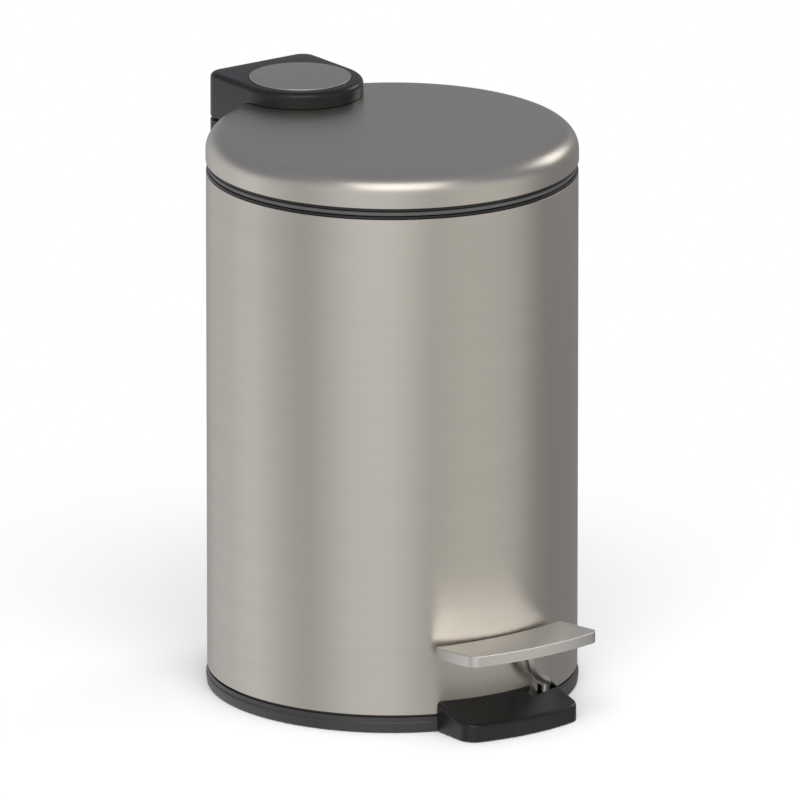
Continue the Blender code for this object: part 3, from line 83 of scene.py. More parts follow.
def softened(corners: Sequence[Vec], reaches: float | Sequence[float], steps: int = 6) -> Array:
    """Round the corners of a closed outline.

    Every corner C becomes a quadratic curve from A, one reach before it, to B,
    one reach after it: (1-t)^2 A + 2t(1-t) C + t^2 B.

    Args:
        corners: The outline's corners in order.
        reaches: Distance from each corner at which its curve starts.
        steps: Straight pieces in one curve.

    Returns:
        The rounded outline, without doubled points.
    """
    points = np.asarray(corners, float)
    reach = np.broadcast_to(np.asarray(reaches, float), len(points))[:, None]
    back = np.roll(points, 1, axis=0) - points
    ahead = np.roll(points, -1, axis=0) - points
    start = points + unit(back) * reach
    end = points + unit(ahead) * reach
    t = np.linspace(0.0, 1.0, steps + 1)[None, :, None]
    curve = ((1 - t) ** 2 * start[:, None] + 2 * t * (1 - t) * points[:, None]
             + t ** 2 * end[:, None]).reshape(-1, points.shape[1])
    apart = np.linalg.norm(curve - np.roll(curve, 1, axis=0), axis=1) > NEAR
    return curve[apart]


def unit(vectors: Array) -> Array:
    """Vectors of length one along the last axis."""
    return vectors / np.linalg.norm(vectors, axis=-1, keepdims=True)


def arc(centre: Vec, radius: float, start: float, end: float, steps: int) -> Array:
    """Points on a circle's arc: centre + radius (cos a, sin a).

    Args:
        centre: The circle's centre.
        radius: Its radius.
        start: First angle in degrees.
        end: Last angle in degrees.
        steps: Straight pieces along the arc.

    Returns:
        The arc's points, both ends included.
    """
    angle = np.radians(np.linspace(start, end, steps + 1))
    return np.stack([centre[0] + radius * np.cos(angle), centre[1] + radius * np.sin(angle)], 1)


def mesh_object(name: str, points: Array, quads: Array, caps: Sequence[Sequence[int]] = (),
                smooth: float = SOFT_ANGLE) -> Piece:
    """Make an object from points and faces, merge doubles and turn faces outwards.

    Args:
        name: Name of the object and its mesh.
        points: Array (n, 3).
        quads: Array (m, 4) of point numbers.
        caps: Faces with any number of corners.
        smooth: Angle in degrees above which an edge stays sharp.

    Returns:
        The linked object, at the origin.
    """
    mesh = bpy.data.meshes.new(name)
    mesh.from_pydata(points.tolist(), [], quads.tolist() + [list(cap) for cap in caps])
    work = bmesh.new()
    work.from_mesh(mesh)
    bmesh.ops.remove_doubles(work, verts=work.verts, dist=MERGE)
    loose = [vert for vert in work.verts if not vert.link_faces]
    bmesh.ops.delete(work, geom=loose, context="VERTS")
    bmesh.ops.recalc_face_normals(work, faces=work.faces)
    work.to_mesh(mesh)
    work.free()
    item = bpy.data.objects.new(name, mesh)
    bpy.context.scene.collection.objects.link(item)
    shade(item, smooth)
    return item


def shade(item: Piece, angle: float) -> None:
    """Shade a piece smooth but for edges sharper than an angle in degrees."""
    item.data.shade_smooth()
    item.data.set_sharp_from_angle(angle=math.radians(angle))


def grid_quads(rows: int, columns: int, wrap_rows: bool) -> Array:
    """Faces of a grid whose columns wrap round.

    Args:
        rows: Rings in the grid.
        columns: Points in one ring.
        wrap_rows: True if the last ring joins the first.

    Returns:
        Array (m, 4) of point numbers.
    """
    row = np.arange(rows if wrap_rows else rows - 1)[:, None]
    column = np.arange(columns)[None, :]
    nxt = (column + 1) % columns
    above = (row + 1) % rows
    corners = [row * columns + column, row * columns + nxt,
               above * columns + nxt, above * columns + column]
    return np.stack(corners, -1).reshape(-1, 4)


def axis_frame(direction: Vec) -> tuple[Array, Array, Array]:
    """Two unit vectors across a direction, and its own unit vector."""
    along = np.asarray(direction, float) / np.linalg.norm(direction)
    start = np.array([0.0, 0.0, 1.0]) if abs(along[2]) < 0.9 else np.array([1.0, 0.0, 0.0])
    across = np.cross(start, along)
    across /= np.linalg.norm(across)
    return across, np.cross(along, across), along


def turned(name: str, profile: Array, steps: int = 256, origin: Vec = (0, 0, 0),
           direction: Vec = (0, 0, 1), smooth: float = SOFT_ANGLE) -> Piece:
    """Turn a closed profile round an axis.

    A point is origin + radius (cos a across + sin a over) + height along, for
    each (radius, height) of the profile and each angle a of a full turn.

    Args:
        name: Name of the piece.
        profile: Array (k, 2) of radius and height along the axis.
        steps: Points round the axis.
        origin: A point on the axis, at height zero.
        direction: The axis.
        smooth: Angle in degrees above which an edge stays sharp.

    Returns:
        The turned body.
    """
    across, over, along = axis_frame(direction)
    angle = np.linspace(0.0, math.tau, steps, endpoint=False)[None, :, None]
    radius = profile[:, 0][:, None, None]
    height = profile[:, 1][:, None, None]
    points = (np.asarray(origin, float) + radius * (np.cos(angle) * across + np.sin(angle) * over)
              + height * along)
    quads = grid_quads(len(profile), steps, True)
    on_axis = profile[:, 0] < NEAR
    open_rows = ~(on_axis & np.roll(on_axis, -1))
    quads = quads[np.repeat(open_rows, steps)]
    return mesh_object(name, points.reshape(-1, 3), quads, smooth=smooth)


def lofted(name: str, rings: Array, smooth: float = SOFT_ANGLE) -> Piece:
    """Join closed rings of equal length in order and cap both ends.

    Args:
        name: Name of the piece.
        rings: Array (k, n, 3).
        smooth: Angle in degrees above which an edge stays sharp.

    Returns:
        The lofted body.
    """
    count, size = rings.shape[:2]
    last = (count - 1) * size
    caps = [range(size), range(last, last + size)]
    return mesh_object(name, rings.reshape(-1, 3), grid_quads(count, size, False), caps, smooth)


def swept(name: str, path: Array, section: Array, side: Vec,
          smooth: float = 40.0) -> Piece:
    """Carry a flat section along a path of points.

    At each point, across is the side vector less its part along the path, over
    is along x across, and a ring point is path + a across + b over. Over is
    stretched by one over the cosine of half the bend, which keeps the bar's
    thickness through a corner.

    Args:
        name: Name of the piece.
        path: Array (k, 3).
        section: Array (n, 2) of (a, b).
        side: A vector that is never along the path.
        smooth: Angle in degrees above which an edge stays sharp.

    Returns:
        The swept bar, capped at both ends.
    """
    legs = unit(np.diff(path, axis=0))
    before = np.concatenate([legs[:1], legs])
    after = np.concatenate([legs, legs[-1:]])
    along = unit(before + after)
    side = np.asarray(side, float)
    across = unit(side - along * (along @ side)[:, None])
    over = np.cross(along, across) / np.sum(along * after, axis=1, keepdims=True)
    rings = (path[:, None] + across[:, None] * section[None, :, :1]
             + over[:, None] * section[None, :, 1:])
    return lofted(name, rings, smooth)


def prism(name: str, outline: Array, low: float, high: float, axis: str = "Z") -> Piece:
    """Carry a flat outline straight along an axis.

    Args:
        name: Name of the tool or piece.
        outline: Array (n, 2): (x, y) for axis Z, or (y, z) for axis X.
        low: Where it starts on the axis.
        high: Where it ends.
        axis: "Z" or "X".

    Returns:
        The prism.
    """
    flat = np.asarray(outline, float)
    place = np.broadcast_to(np.array([low, high])[:, None, None], (2, len(flat), 1))
    both = np.broadcast_to(flat, (2, *flat.shape))
    rings = np.concatenate([both, place] if axis == "Z" else [place, both], 2)
    return lofted(name, rings)


def box(name: str, low: Vec, high: Vec) -> Piece:
    """A box between two corners, as a tool or a plain block of a larger piece."""
    outline = np.array([(low[0], low[1]), (high[0], low[1]), (high[0], high[1]),
                        (low[0], high[1])])
    return prism(name, outline, low[2], high[2])


def rod(name: str, start: Vec, end: Vec, radius: float, steps: int = PIN_STEPS) -> Piece:
    """A cylinder between two points."""
    span = np.asarray(end, float) - np.asarray(start, float)
    length = float(np.linalg.norm(span))
    profile = np.array([(0, 0), (radius, 0), (radius, length), (0, length)])
    return turned(name, profile, steps, start, span)


def combine(piece: Piece, tools: Sequence[Piece], way: Join,
            smooth: float = SOFT_ANGLE) -> Piece:
    """Add tools to a piece or cut them out of it, for good.

    Args:
        piece: The body that changes.
        tools: Closed bodies, which are used up.
        way: Whether they are added or cut.
        smooth: Angle in degrees above which an edge stays sharp.

    Returns:
        The piece, with a plain mesh and no modifiers.
    """
    for tool in tools:
        step = piece.modifiers.new(tool.name, "BOOLEAN")
        step.operation = way.value
        step.solver = "EXACT"
        step.object = tool
    graph = bpy.context.evaluated_depsgraph_get()
    mesh = bpy.data.meshes.new_from_object(piece.evaluated_get(graph), depsgraph=graph)
    piece.modifiers.clear()
    old = piece.data
    piece.data = mesh
    bpy.data.meshes.remove(old)
    mesh.name = piece.name
    for tool in tools:
        spare = tool.data
        bpy.data.objects.remove(tool, do_unlink=True)
        bpy.data.meshes.remove(spare)
    shade(piece, smooth)
    return piece


def settle(piece: Piece, body: str, slot: str, material: bpy.types.Material,
           *nodes: str) -> None:
    """Dress a finished piece, hang it on its body and report it.

    Args:
        piece: The finished piece.
        body: The body that it moves with.
        slot: The record's material slot that its finish stands for; not used.
        material: Its material.
        nodes: The solids that it stands for.
    """
    piece.data.materials.clear()
    piece.data.materials.append(material)
    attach(piece, body)
    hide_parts(*nodes)
    log.info("%s on %s, for %s: %d faces", piece.name, body, ", ".join(nodes),
             len(piece.data.polygons))


def dress_node(node: str, material: bpy.types.Material) -> None:
    """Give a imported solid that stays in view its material."""
    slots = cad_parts[node].material_slots
    for slot in slots:
        slot.link = "OBJECT"
        slot.material = material
    log.info("%s keeps its solid, in %s", node, material.name)


# Sizes that several sub-assemblies share

@dataclass(frozen=True)
class Common:
    """Shared places of the bin, in metres."""

    gap: float = 0.0003
    overrun: float = 0.003
    play: float = 0.0003
    body_radius: float = 0.085
    spigot_inner: float = 0.0815
    wall: float = 0.0008
    shell_foot: float = 0.0085
    shell_top: float = 0.2429
    collar_top: float = 0.2443
    rim_foot: float = 0.2446
    rim_top: float = 0.2463
    lid_foot: float = 0.2481
    lid_top: float = 0.2629
    lid_radius: float = 0.0852
    axis_y: float = 0.1044
    axis_z: float = 0.2520
    ear_end: float = 0.0116
    box_rear: float = 0.1072
    housing_foot: float = 0.2060
    screw_radius: float = 0.0013
    screw_bite: float = 0.0045
    lid_screw_x: float = 0.014
    lid_screw_y: float = 0.062
    house_screw_x: float = 0.016
    house_screw_z: float = 0.2140
    liner_under: float = 0.2604
    pad_thickness: float = 0.0018
    pivot: tuple[float, float, float] = (0.022, -0.038, 0.018)
    pivot_length: float = 0.0084
    pivot_pin: float = 0.0015
    rod_y: float = 0.076
    rod_rear_y: float = 0.0919
    rod_wire: float = 0.0025
    rod_jog: float = 0.212
    rod_travel: float = 0.0209775
    crossing: tuple[float, float] = (0.026, 0.0117)
    lever_width: float = 0.0042
    lever_thickness: float = 0.0038
    crossing_play: float = 0.0015
    crossing_foot: float = 0.0013
    crossing_depth: float = 0.0157
    crank_reach: float = 0.0052
    notch_half: float = 0.008
    notch_height: float = 0.0075
    boss_places: tuple[float, float] = (-0.016, 0.004)
    boss_height: float = 0.0058

    @property
    def rod_foot(self) -> float:
        """Height of the lift rod's lower pin at rest."""
        return self.pivot[2] - self.rod_travel / 2

    @property
    def rod_top(self) -> float:
        """Height of the lift rod's upper pin at rest."""
        return self.axis_z - self.rod_travel / 2

    @property
    def lever_length(self) -> float:
        """Length of the lever from its pivot to the rod, along Y."""
        return self.rod_y - self.pivot[1]

    @property
    def lever_tilt(self) -> float:
        """How far the lever hangs below level at rest, in radians."""
        return math.asin(self.rod_travel / 2 / self.lever_length)

    @property
    def block_inner(self) -> float:
        """Radius at which the pedal housing meets the base."""
        return self.body_radius + self.gap

    def front_way(self, angle: float) -> Array:
        """Level unit vector at an angle from the front."""
        return np.array([math.sin(angle), -math.cos(angle), 0.0])

    def boss_way(self, x: float) -> Array:
        """Level unit vector through a boss of the pedal housing."""
        return self.front_way(math.asin(x / self.block_inner))

    def screw_hole(self, start: Vec, end: Vec) -> Piece:
        """A clear hole for a screw between two points."""
        return rod("screw_hole", start, end, self.screw_radius + self.play, HOLE_STEPS)

    def boss_hole(self, x: float, start: float, end: float) -> Piece:
        """A screw hole through a boss of the pedal housing, between two radii."""
        way = self.boss_way(x)
        lift = np.array([0, 0, self.boss_height])
        return self.screw_hole(way * start + lift, way * end + lift)

    def crossing_tool(self, name: str) -> Piece:
        """The space in which the lever crosses the wall."""
        x, z = self.crossing
        half = self.lever_width / 2 + self.crossing_play
        return box(name, (x - half, -self.body_radius - self.overrun, self.crossing_foot),
                   (x + half, -self.body_radius + self.crossing_depth,
                    z + self.lever_thickness / 2 + self.play))

    def crank_tool(self, name: str) -> Piece:
        """The flat behind the collar and the rim that clears the crank."""
        half = self.crank_reach + self.overrun
        return box(name, (-half, self.body_radius - self.wall * 2, self.shell_top + self.gap / 2),
                   (half, self.box_rear, self.lid_foot))

    def lid_screw_tool(self, side: int) -> Piece:
        """A screw hole through the arm's pad, the liner and the lid."""
        x = side * self.lid_screw_x
        low = self.liner_under - self.pad_thickness - self.overrun
        return self.screw_hole((x, self.lid_screw_y, low),
                               (x, self.lid_screw_y, self.lid_top + self.overrun))

    def house_screw_tool(self, side: int, end: float) -> Piece:
        """A level screw hole through the back wall, as far as end."""
        x = side * self.house_screw_x
        return self.screw_hole((x, self.body_radius / 2, self.house_screw_z),
                               (x, end, self.house_screw_z))

    def arm_notch(self, name: str, foot: float) -> Piece:
        """The notch in a skirt that the hinge arm passes through."""
        return box(name, (-self.notch_half, self.body_radius * 3 / 4, foot),
                   (self.notch_half, self.box_rear, self.lid_foot + self.notch_height))


# Materials

NOISE_OFFSET = (0.43, 0.43, 0.43)   # keeps the largest cells' walls off the bin's axis
DUST_COLOUR = (0.32, 0.30, 0.28)
RUBBED_METAL = 1.12                 # colour of rubbed edges over the plain one
RUBBED_PLASTIC = 1.6
METAL_WEAR = (0.57, 0.67)           # pointiness at which wear starts and is full
PAINTED_TOP_RANGE = (0.9, 0.98)           # normal's Z over which a face takes the painted top highlight
GRAIN_RANGE = (0.25, 0.75)          # noise over which a brush line goes from dark to light
HEIGHT_SHARES = (0.7, 0.3)          # of fine and broad lines in the grain's height
COLOUR_SHARES = (0.6, 0.4)          # of lines and bands in the metal's colour
METAL_BUMP = 0.00002                # height of the brush lines in metres
PLASTIC_BUMP = 0.00004


class Graph:
    """A short hand for writing a node tree."""

    def __init__(self, tree: bpy.types.NodeTree) -> None:
        """Keep the tree."""
        self.tree = tree

    def add(self, kind: str, **settings: Any) -> bpy.types.Node:
        """Add a node.

        Args:
            kind: The node's type without its prefix.
            settings: Attributes, or input values where the key is an input's
                name with spaces written as underscores.

        Returns:
            The node.
        """
        node = self.tree.nodes.new("ShaderNode" + kind)
        for key, value in settings.items():
            if hasattr(node, key):
                setattr(node, key, value)
            else:
                node.inputs[key.replace("_", " ")].default_value = value
        return node

    def link(self, start: Any, end: Any) -> None:
        """Join an output to an input."""
        self.tree.links.new(start, end)

    def up(self) -> Any:
        """Z of the surface's normal."""
        parts = self.add("SeparateXYZ")
        self.link(self.add("NewGeometry").outputs["Normal"], parts.inputs[0])
        return parts.outputs["Z"]

    def along(self, vector: Any, way: Vec) -> Any:
        """Part of a vector along a fixed one: their dot product."""
        node = self.add("VectorMath", operation="DOT_PRODUCT")
        self.link(vector, node.inputs[0])
        node.inputs[1].default_value = tuple(way)
        return node.outputs["Value"]

    def blend(self, share: Any, first: Any, second: Any) -> Any:
        """Go from one shader to another by a share."""
        node = self.add("MixShader")
        for value, socket in zip((share, first, second), node.inputs):
            self.link(value, socket)
        return node.outputs[0]

    def sum(self, first: Any, second: Any) -> Any:
        """Add two shaders."""
        node = self.add("AddShader")
        self.link(first, node.inputs[0])
        self.link(second, node.inputs[1])
        return node.outputs[0]

    def weighted(self, first: Any, second: Any, shares: Vec) -> Any:
        """Add two values, each times its share."""
        return self.math("ADD", self.math("MULTIPLY", first, shares[0]),
                         self.math("MULTIPLY", second, shares[1]))

    def math(self, operation: str, *values: Any) -> Any:
        """Add a Math node.

        Args:
            operation: The node's operation.
            values: Outputs to link or numbers to set.

        Returns:
            Its output.
        """
        node = self.add("Math", operation=operation)
        for index, value in enumerate(values):
            if isinstance(value, (int, float)):
                node.inputs[index].default_value = value
            else:
                self.link(value, node.inputs[index])
        return node.outputs[0]

    def ramp(self, value: Any, low: float, high: float, start: float = 0.0,
             end: float = 1.0, smooth: bool = True) -> Any:
        """Map a value from one range to another, clamped.

        Args:
            value: Output to map.
            low: Value that gives start.
            high: Value that gives end.
            start: Result at low.
            end: Result at high.
            smooth: Ease at both ends.

        Returns:
            The mapped output.
        """
        node = self.add("MapRange", interpolation_type="SMOOTHSTEP" if smooth else "LINEAR")
        self.link(value, node.inputs["Value"])
        for key, number in (("From Min", low), ("From Max", high), ("To Min", start),
                            ("To Max", end)):
            node.inputs[key].default_value = number
        return node.outputs["Result"]

    def mix(self, share: Any, first: Any, second: Any) -> Any:
        """Mix two colours by a share.

        Args:
            share: Output from 0 to 1.
            first: Colour output or tuple.
            second: Colour output or tuple.

        Returns:
            The mixed colour.
        """
        node = self.add("Mix", data_type="RGBA")
        self.link(share, node.inputs["Factor"])
        for value, socket in ((first, node.inputs[6]), (second, node.inputs[7])):
            if isinstance(value, tuple):
                socket.default_value = (*value, 1.0)
            else:
                self.link(value, socket)
        return node.outputs[2]


def new_group(name: str, inputs: Sequence[tuple[str, str, Any]],
              outputs: Sequence[tuple[str, str]]) -> tuple[Graph, Any, Any]:
    """Start a shader node group.

    Args:
        name: Its name.
        inputs: Name, socket type and value of each input.
        outputs: Name and socket type of each output.

    Returns:
        Its graph, its input node and its output node.
    """
    tree = bpy.data.node_groups.new(name, "ShaderNodeTree")
    for label, kind, value in inputs:
        socket = tree.interface.new_socket(label, in_out="INPUT", socket_type="NodeSocket" + kind)
        socket.default_value = value
    for label, kind in outputs:
        tree.interface.new_socket(label, in_out="OUTPUT", socket_type="NodeSocket" + kind)
    return Graph(tree), tree.nodes.new("NodeGroupInput"), tree.nodes.new("NodeGroupOutput")


def stretched_noise(graph: Graph, stretch: Any, detail: float, roughness: float) -> Any:
    """Noise on object coordinates multiplied by a stretch.

    Args:
        graph: The tree to write in.
        stretch: Vector output that scales them.
        detail: Octaves.
        roughness: Weight of the finer octaves.

    Returns:
        The noise's value.
    """
    scaled = graph.add("VectorMath", operation="MULTIPLY_ADD")
    graph.link(graph.add("TexCoord").outputs["Object"], scaled.inputs[0])
    graph.link(stretch, scaled.inputs[1])
    scaled.inputs[2].default_value = NOISE_OFFSET
    noise = graph.add("TexNoise", Scale=1.0, Detail=detail, Roughness=roughness)
    graph.link(scaled.outputs[0], noise.inputs["Vector"])
    return noise.outputs["Fac"]


def build_grain_group() -> bpy.types.NodeTree:
    """Brush lines: noise drawn out along the brushing, in two widths.

    Returns:
        A group that puts out fine lines, broad bands and both together.
    """
    graph, into, out = new_group(
        "brush_grain", [("Fine", "Vector", (25, 25, 2500)), ("Broad", "Vector", (6, 6, 220))],
        [("Lines", "Float"), ("Bands", "Float"), ("Height", "Float")])
    fine = stretched_noise(graph, into.outputs["Fine"], 3.0, 0.6)
    broad = stretched_noise(graph, into.outputs["Broad"], 4.0, 0.5)
    graph.link(graph.ramp(fine, *GRAIN_RANGE), out.inputs["Lines"])
    graph.link(graph.ramp(broad, *GRAIN_RANGE), out.inputs["Bands"])
    graph.link(graph.weighted(fine, broad, HEIGHT_SHARES), out.inputs["Height"])
    return graph.tree


def build_moulding_group() -> bpy.types.NodeTree:
    """Spark-eroded moulding texture: a fine pebble and a slow mottle.

    Returns:
        A group that puts out the pebble's height and the mottle.
    """
    graph, into, out = new_group(
        "moulding_texture", [("Pebble", "Vector", (2600, 2600, 2600)),
                             ("Mottle", "Vector", (38, 38, 38))],
        [("Height", "Float"), ("Patches", "Float")])
    pebble = stretched_noise(graph, into.outputs["Pebble"], 2.0, 0.55)
    slow = stretched_noise(graph, into.outputs["Mottle"], 4.0, 0.6)
    graph.link(pebble, out.inputs["Height"])
    graph.link(graph.ramp(slow, 0.3, 0.7), out.inputs["Patches"])
    return graph.tree


def build_wear_group() -> bpy.types.NodeTree:
    """Edge wear: where the surface is convex, broken up by noise.

    Returns:
        A group that puts out a mask of the rubbed edges.
    """
    graph, into, out = new_group(
        "edge_wear", [("Start", "Float", 0.52), ("Full", "Float", 0.62),
                      ("Breakup", "Vector", (220, 220, 220))], [("Mask", "Float")])
    point = graph.add("NewGeometry").outputs["Pointiness"]
    noise = stretched_noise(graph, into.outputs["Breakup"], 3.0, 0.6)
    node = graph.add("MapRange", interpolation_type="SMOOTHSTEP")
    graph.link(point, node.inputs["Value"])
    graph.link(into.outputs["Start"], node.inputs["From Min"])
    graph.link(into.outputs["Full"], node.inputs["From Max"])
    broken = graph.math("MULTIPLY", node.outputs["Result"], graph.ramp(noise, 0.3, 0.65, 0.2, 1.0))
    graph.link(broken, out.inputs["Mask"])
    return graph.tree


def build_dust_group() -> bpy.types.NodeTree:
    """Fine dust on faces that look up, in soft patches.

    Returns:
        A group that puts out a mask of the dust.
    """
    graph, into, out = new_group(
        "settled_dust", [("Spread", "Vector", (30, 30, 30)),
                         ("Specks", "Vector", (1500, 1500, 1500))], [("Mask", "Float")])
    up = graph.ramp(graph.up(), 0.6, 1.0)
    patches = stretched_noise(graph, into.outputs["Spread"], 4.0, 0.6)
    specks = stretched_noise(graph, into.outputs["Specks"], 2.0, 0.5)
    cover = graph.math("ADD", graph.ramp(patches, 0.35, 0.75, 0.0, 0.6),
                       graph.ramp(specks, 0.6, 0.75, 0.0, 0.4))
    graph.link(graph.math("MULTIPLY", up, cover), out.inputs["Mask"])
    return graph.tree


@dataclass
class Effects:
    """The shared node groups."""

    grain: bpy.types.NodeTree
    moulding: bpy.types.NodeTree
    wear: bpy.types.NodeTree
    dust: bpy.types.NodeTree

    @classmethod
    def build(cls) -> "Effects":
        """Build each group once."""
        return cls(build_grain_group(), build_moulding_group(), build_wear_group(),
                   build_dust_group())


def place_group(graph: Graph, tree: bpy.types.NodeTree, **values: Any) -> bpy.types.Node:
    """Place a shared group in a material with its own values."""
    node = graph.tree.nodes.new("ShaderNodeGroup")
    node.node_tree = tree
    for key, value in values.items():
        node.inputs[key].default_value = value
    return node


def new_material(name: str) -> tuple[bpy.types.Material, Graph, bpy.types.Node]:
    """Start a material with a Principled shader.

    Args:
        name: Its name.

    Returns:
        The material, its graph and its shader.
    """
    material = bpy.data.materials.new(name)
    material.use_nodes = True
    graph = Graph(material.node_tree)
    return material, graph, material.node_tree.nodes["Principled BSDF"]


def add_bump(graph: Graph, shader: bpy.types.Node, height: Any, strength: float,
             distance: float) -> None:
    """Feed a height to the shader's normal through a Bump node."""
    bump = graph.add("Bump", Strength=strength, Distance=distance)
    graph.link(height, bump.inputs["Height"])
    graph.link(bump.outputs["Normal"], shader.inputs["Normal"])


@dataclass(frozen=True)
class BrushedMetal:
    """Metal with brush lines, soft bands, rubbed edges and a painted highlight on faces that look
    up.
    """

    name: str
    colour: Colour
    shade: Colour
    roughness: tuple[float, float]
    fine: tuple[float, float, float]
    broad: tuple[float, float, float]
    anisotropy: float
    bump: float
    upper: float = 1.0   # painted highlight: factor on the colour of faces that look up, as if lit from above

    def build(self, effects: Effects) -> bpy.types.Material:
        """Make the material.

        Args:
            effects: The shared node groups.

        Returns:
            The material.
        """
        material, graph, shader = new_material(self.name)
        grain = place_group(graph, effects.grain, Fine=self.fine, Broad=self.broad)
        start, full = METAL_WEAR
        wear = place_group(graph, effects.wear, Start=start, Full=full)
        both = graph.weighted(grain.outputs["Lines"], grain.outputs["Bands"], COLOUR_SHARES)
        brushed = graph.mix(both, self.shade, self.colour)
        paler, light = (tuple(min(1.0, c * factor) for c in self.colour)
                        for factor in (self.upper, RUBBED_METAL))
        # Painted highlight: faces that look up take a paler colour, as if lit from above.
        brushed = graph.mix(graph.ramp(graph.up(), *PAINTED_TOP_RANGE), brushed, paler)
        graph.link(graph.mix(wear.outputs["Mask"], brushed, light), shader.inputs["Base Color"])
        low, high = self.roughness
        graph.link(graph.ramp(both, 0.0, 1.0, high, low, False), shader.inputs["Roughness"])
        shader.inputs["Metallic"].default_value = 1.0
        shader.inputs["Anisotropic"].default_value = self.anisotropy
        shader.inputs["Anisotropic Rotation"].default_value = 0.25
        add_bump(graph, shader, grain.outputs["Height"], self.bump, METAL_BUMP)
        return material


@dataclass(frozen=True)
class MouldedPlastic:
    """Moulded plastic with a fine pebble, polished edges and a little dust."""

    name: str
    colour: Colour
    lighter: Colour
    roughness: tuple[float, float]
    specular: float
    pebble: float
    bump: float
    dust: float

    def build(self, effects: Effects) -> bpy.types.Material:
        """Make the material.

        Args:
            effects: The shared node groups.

        Returns:
            The material.
        """
        material, graph, shader = new_material(self.name)
        mould = place_group(graph, effects.moulding, Pebble=(self.pebble,) * 3)
        wear = place_group(graph, effects.wear)
        dust = place_group(graph, effects.dust)
        base = graph.mix(mould.outputs["Patches"], self.colour, self.lighter)
        rubbed = graph.mix(graph.math("MULTIPLY", wear.outputs["Mask"], 0.5), base,
                           tuple(c * RUBBED_PLASTIC for c in self.lighter))
        dusty = graph.math("MULTIPLY", dust.outputs["Mask"], self.dust)
        graph.link(graph.mix(dusty, rubbed, DUST_COLOUR), shader.inputs["Base Color"])
        low, high = self.roughness
        matt = graph.ramp(mould.outputs["Patches"], 0.0, 1.0, low, high, False)
        polished = graph.math("SUBTRACT", matt, graph.math("MULTIPLY", wear.outputs["Mask"], 0.06))
        graph.link(graph.math("ADD", polished, graph.math("MULTIPLY", dusty, 0.3)),
                   shader.inputs["Roughness"])
        shader.inputs["Specular IOR Level"].default_value = self.specular
        add_bump(graph, shader, mould.outputs["Height"], self.bump, PLASTIC_BUMP)
        return material


FINISHES = (
    BrushedMetal("brushed_body", (0.592, 0.562, 0.513), (0.566, 0.537, 0.488), (0.355, 0.405),
                 (5, 5, 2600), (5, 5, 190), 0.7, 0.18),
    BrushedMetal("brushed_lid", (0.60, 0.57, 0.52), (0.56, 0.532, 0.485), (0.29, 0.36),
                 (22, 2600, 2600), (5, 190, 190), 0.0, 0.14),
    BrushedMetal("satin_badge", (0.585, 0.555, 0.52), (0.545, 0.517, 0.485), (0.30, 0.38),
                 (60, 2600, 200), (20, 260, 60), 0.0, 0.14),
    # The satin pedal's last value, 1.45, paints a highlight on its faces that look up.
    BrushedMetal("satin_pedal", (0.64, 0.625, 0.60), (0.59, 0.575, 0.55), (0.31, 0.40),
                 (60, 2200, 2200), (16, 240, 240), 0.0, 0.16, 1.45),
    BrushedMetal("plated_wire", (0.60, 0.60, 0.60), (0.52, 0.52, 0.525), (0.20, 0.30),
                 (900, 900, 900), (120, 120, 120), 0.0, 0.10),
    MouldedPlastic("black_moulding", (0.011, 0.0107, 0.0107), (0.016, 0.0155, 0.0155),
                   (0.27, 0.34), 0.40, 2600, 0.15, 0.005),
    MouldedPlastic("pan_moulding", (0.050, 0.049, 0.047), (0.062, 0.061, 0.059),
                   (0.32, 0.42), 0.5, 2600, 0.25, 0.02),
    MouldedPlastic("bucket_moulding", (0.100, 0.100, 0.102), (0.120, 0.120, 0.122),
                   (0.46, 0.58), 0.5, 2000, 0.35, 0.02),
    MouldedPlastic("foot_rubber", (0.018, 0.018, 0.018), (0.026, 0.026, 0.025),
                   (0.75, 0.86), 0.4, 1500, 0.5, 0.03))


@dataclass
class Palette:
    """The bin's materials, in the order of the finishes."""

    body_steel: bpy.types.Material
    lid_steel: bpy.types.Material
    badge_steel: bpy.types.Material
    pedal_steel: bpy.types.Material
    wire_steel: bpy.types.Material
    black: bpy.types.Material
    pan: bpy.types.Material
    bucket: bpy.types.Material
    rubber: bpy.types.Material

    @classmethod
    def build(cls, effects: Effects) -> "Palette":
        """Build every finish from the shared effects."""
        return cls(*(finish.build(effects) for finish in FINISHES))


# Sub-assemblies

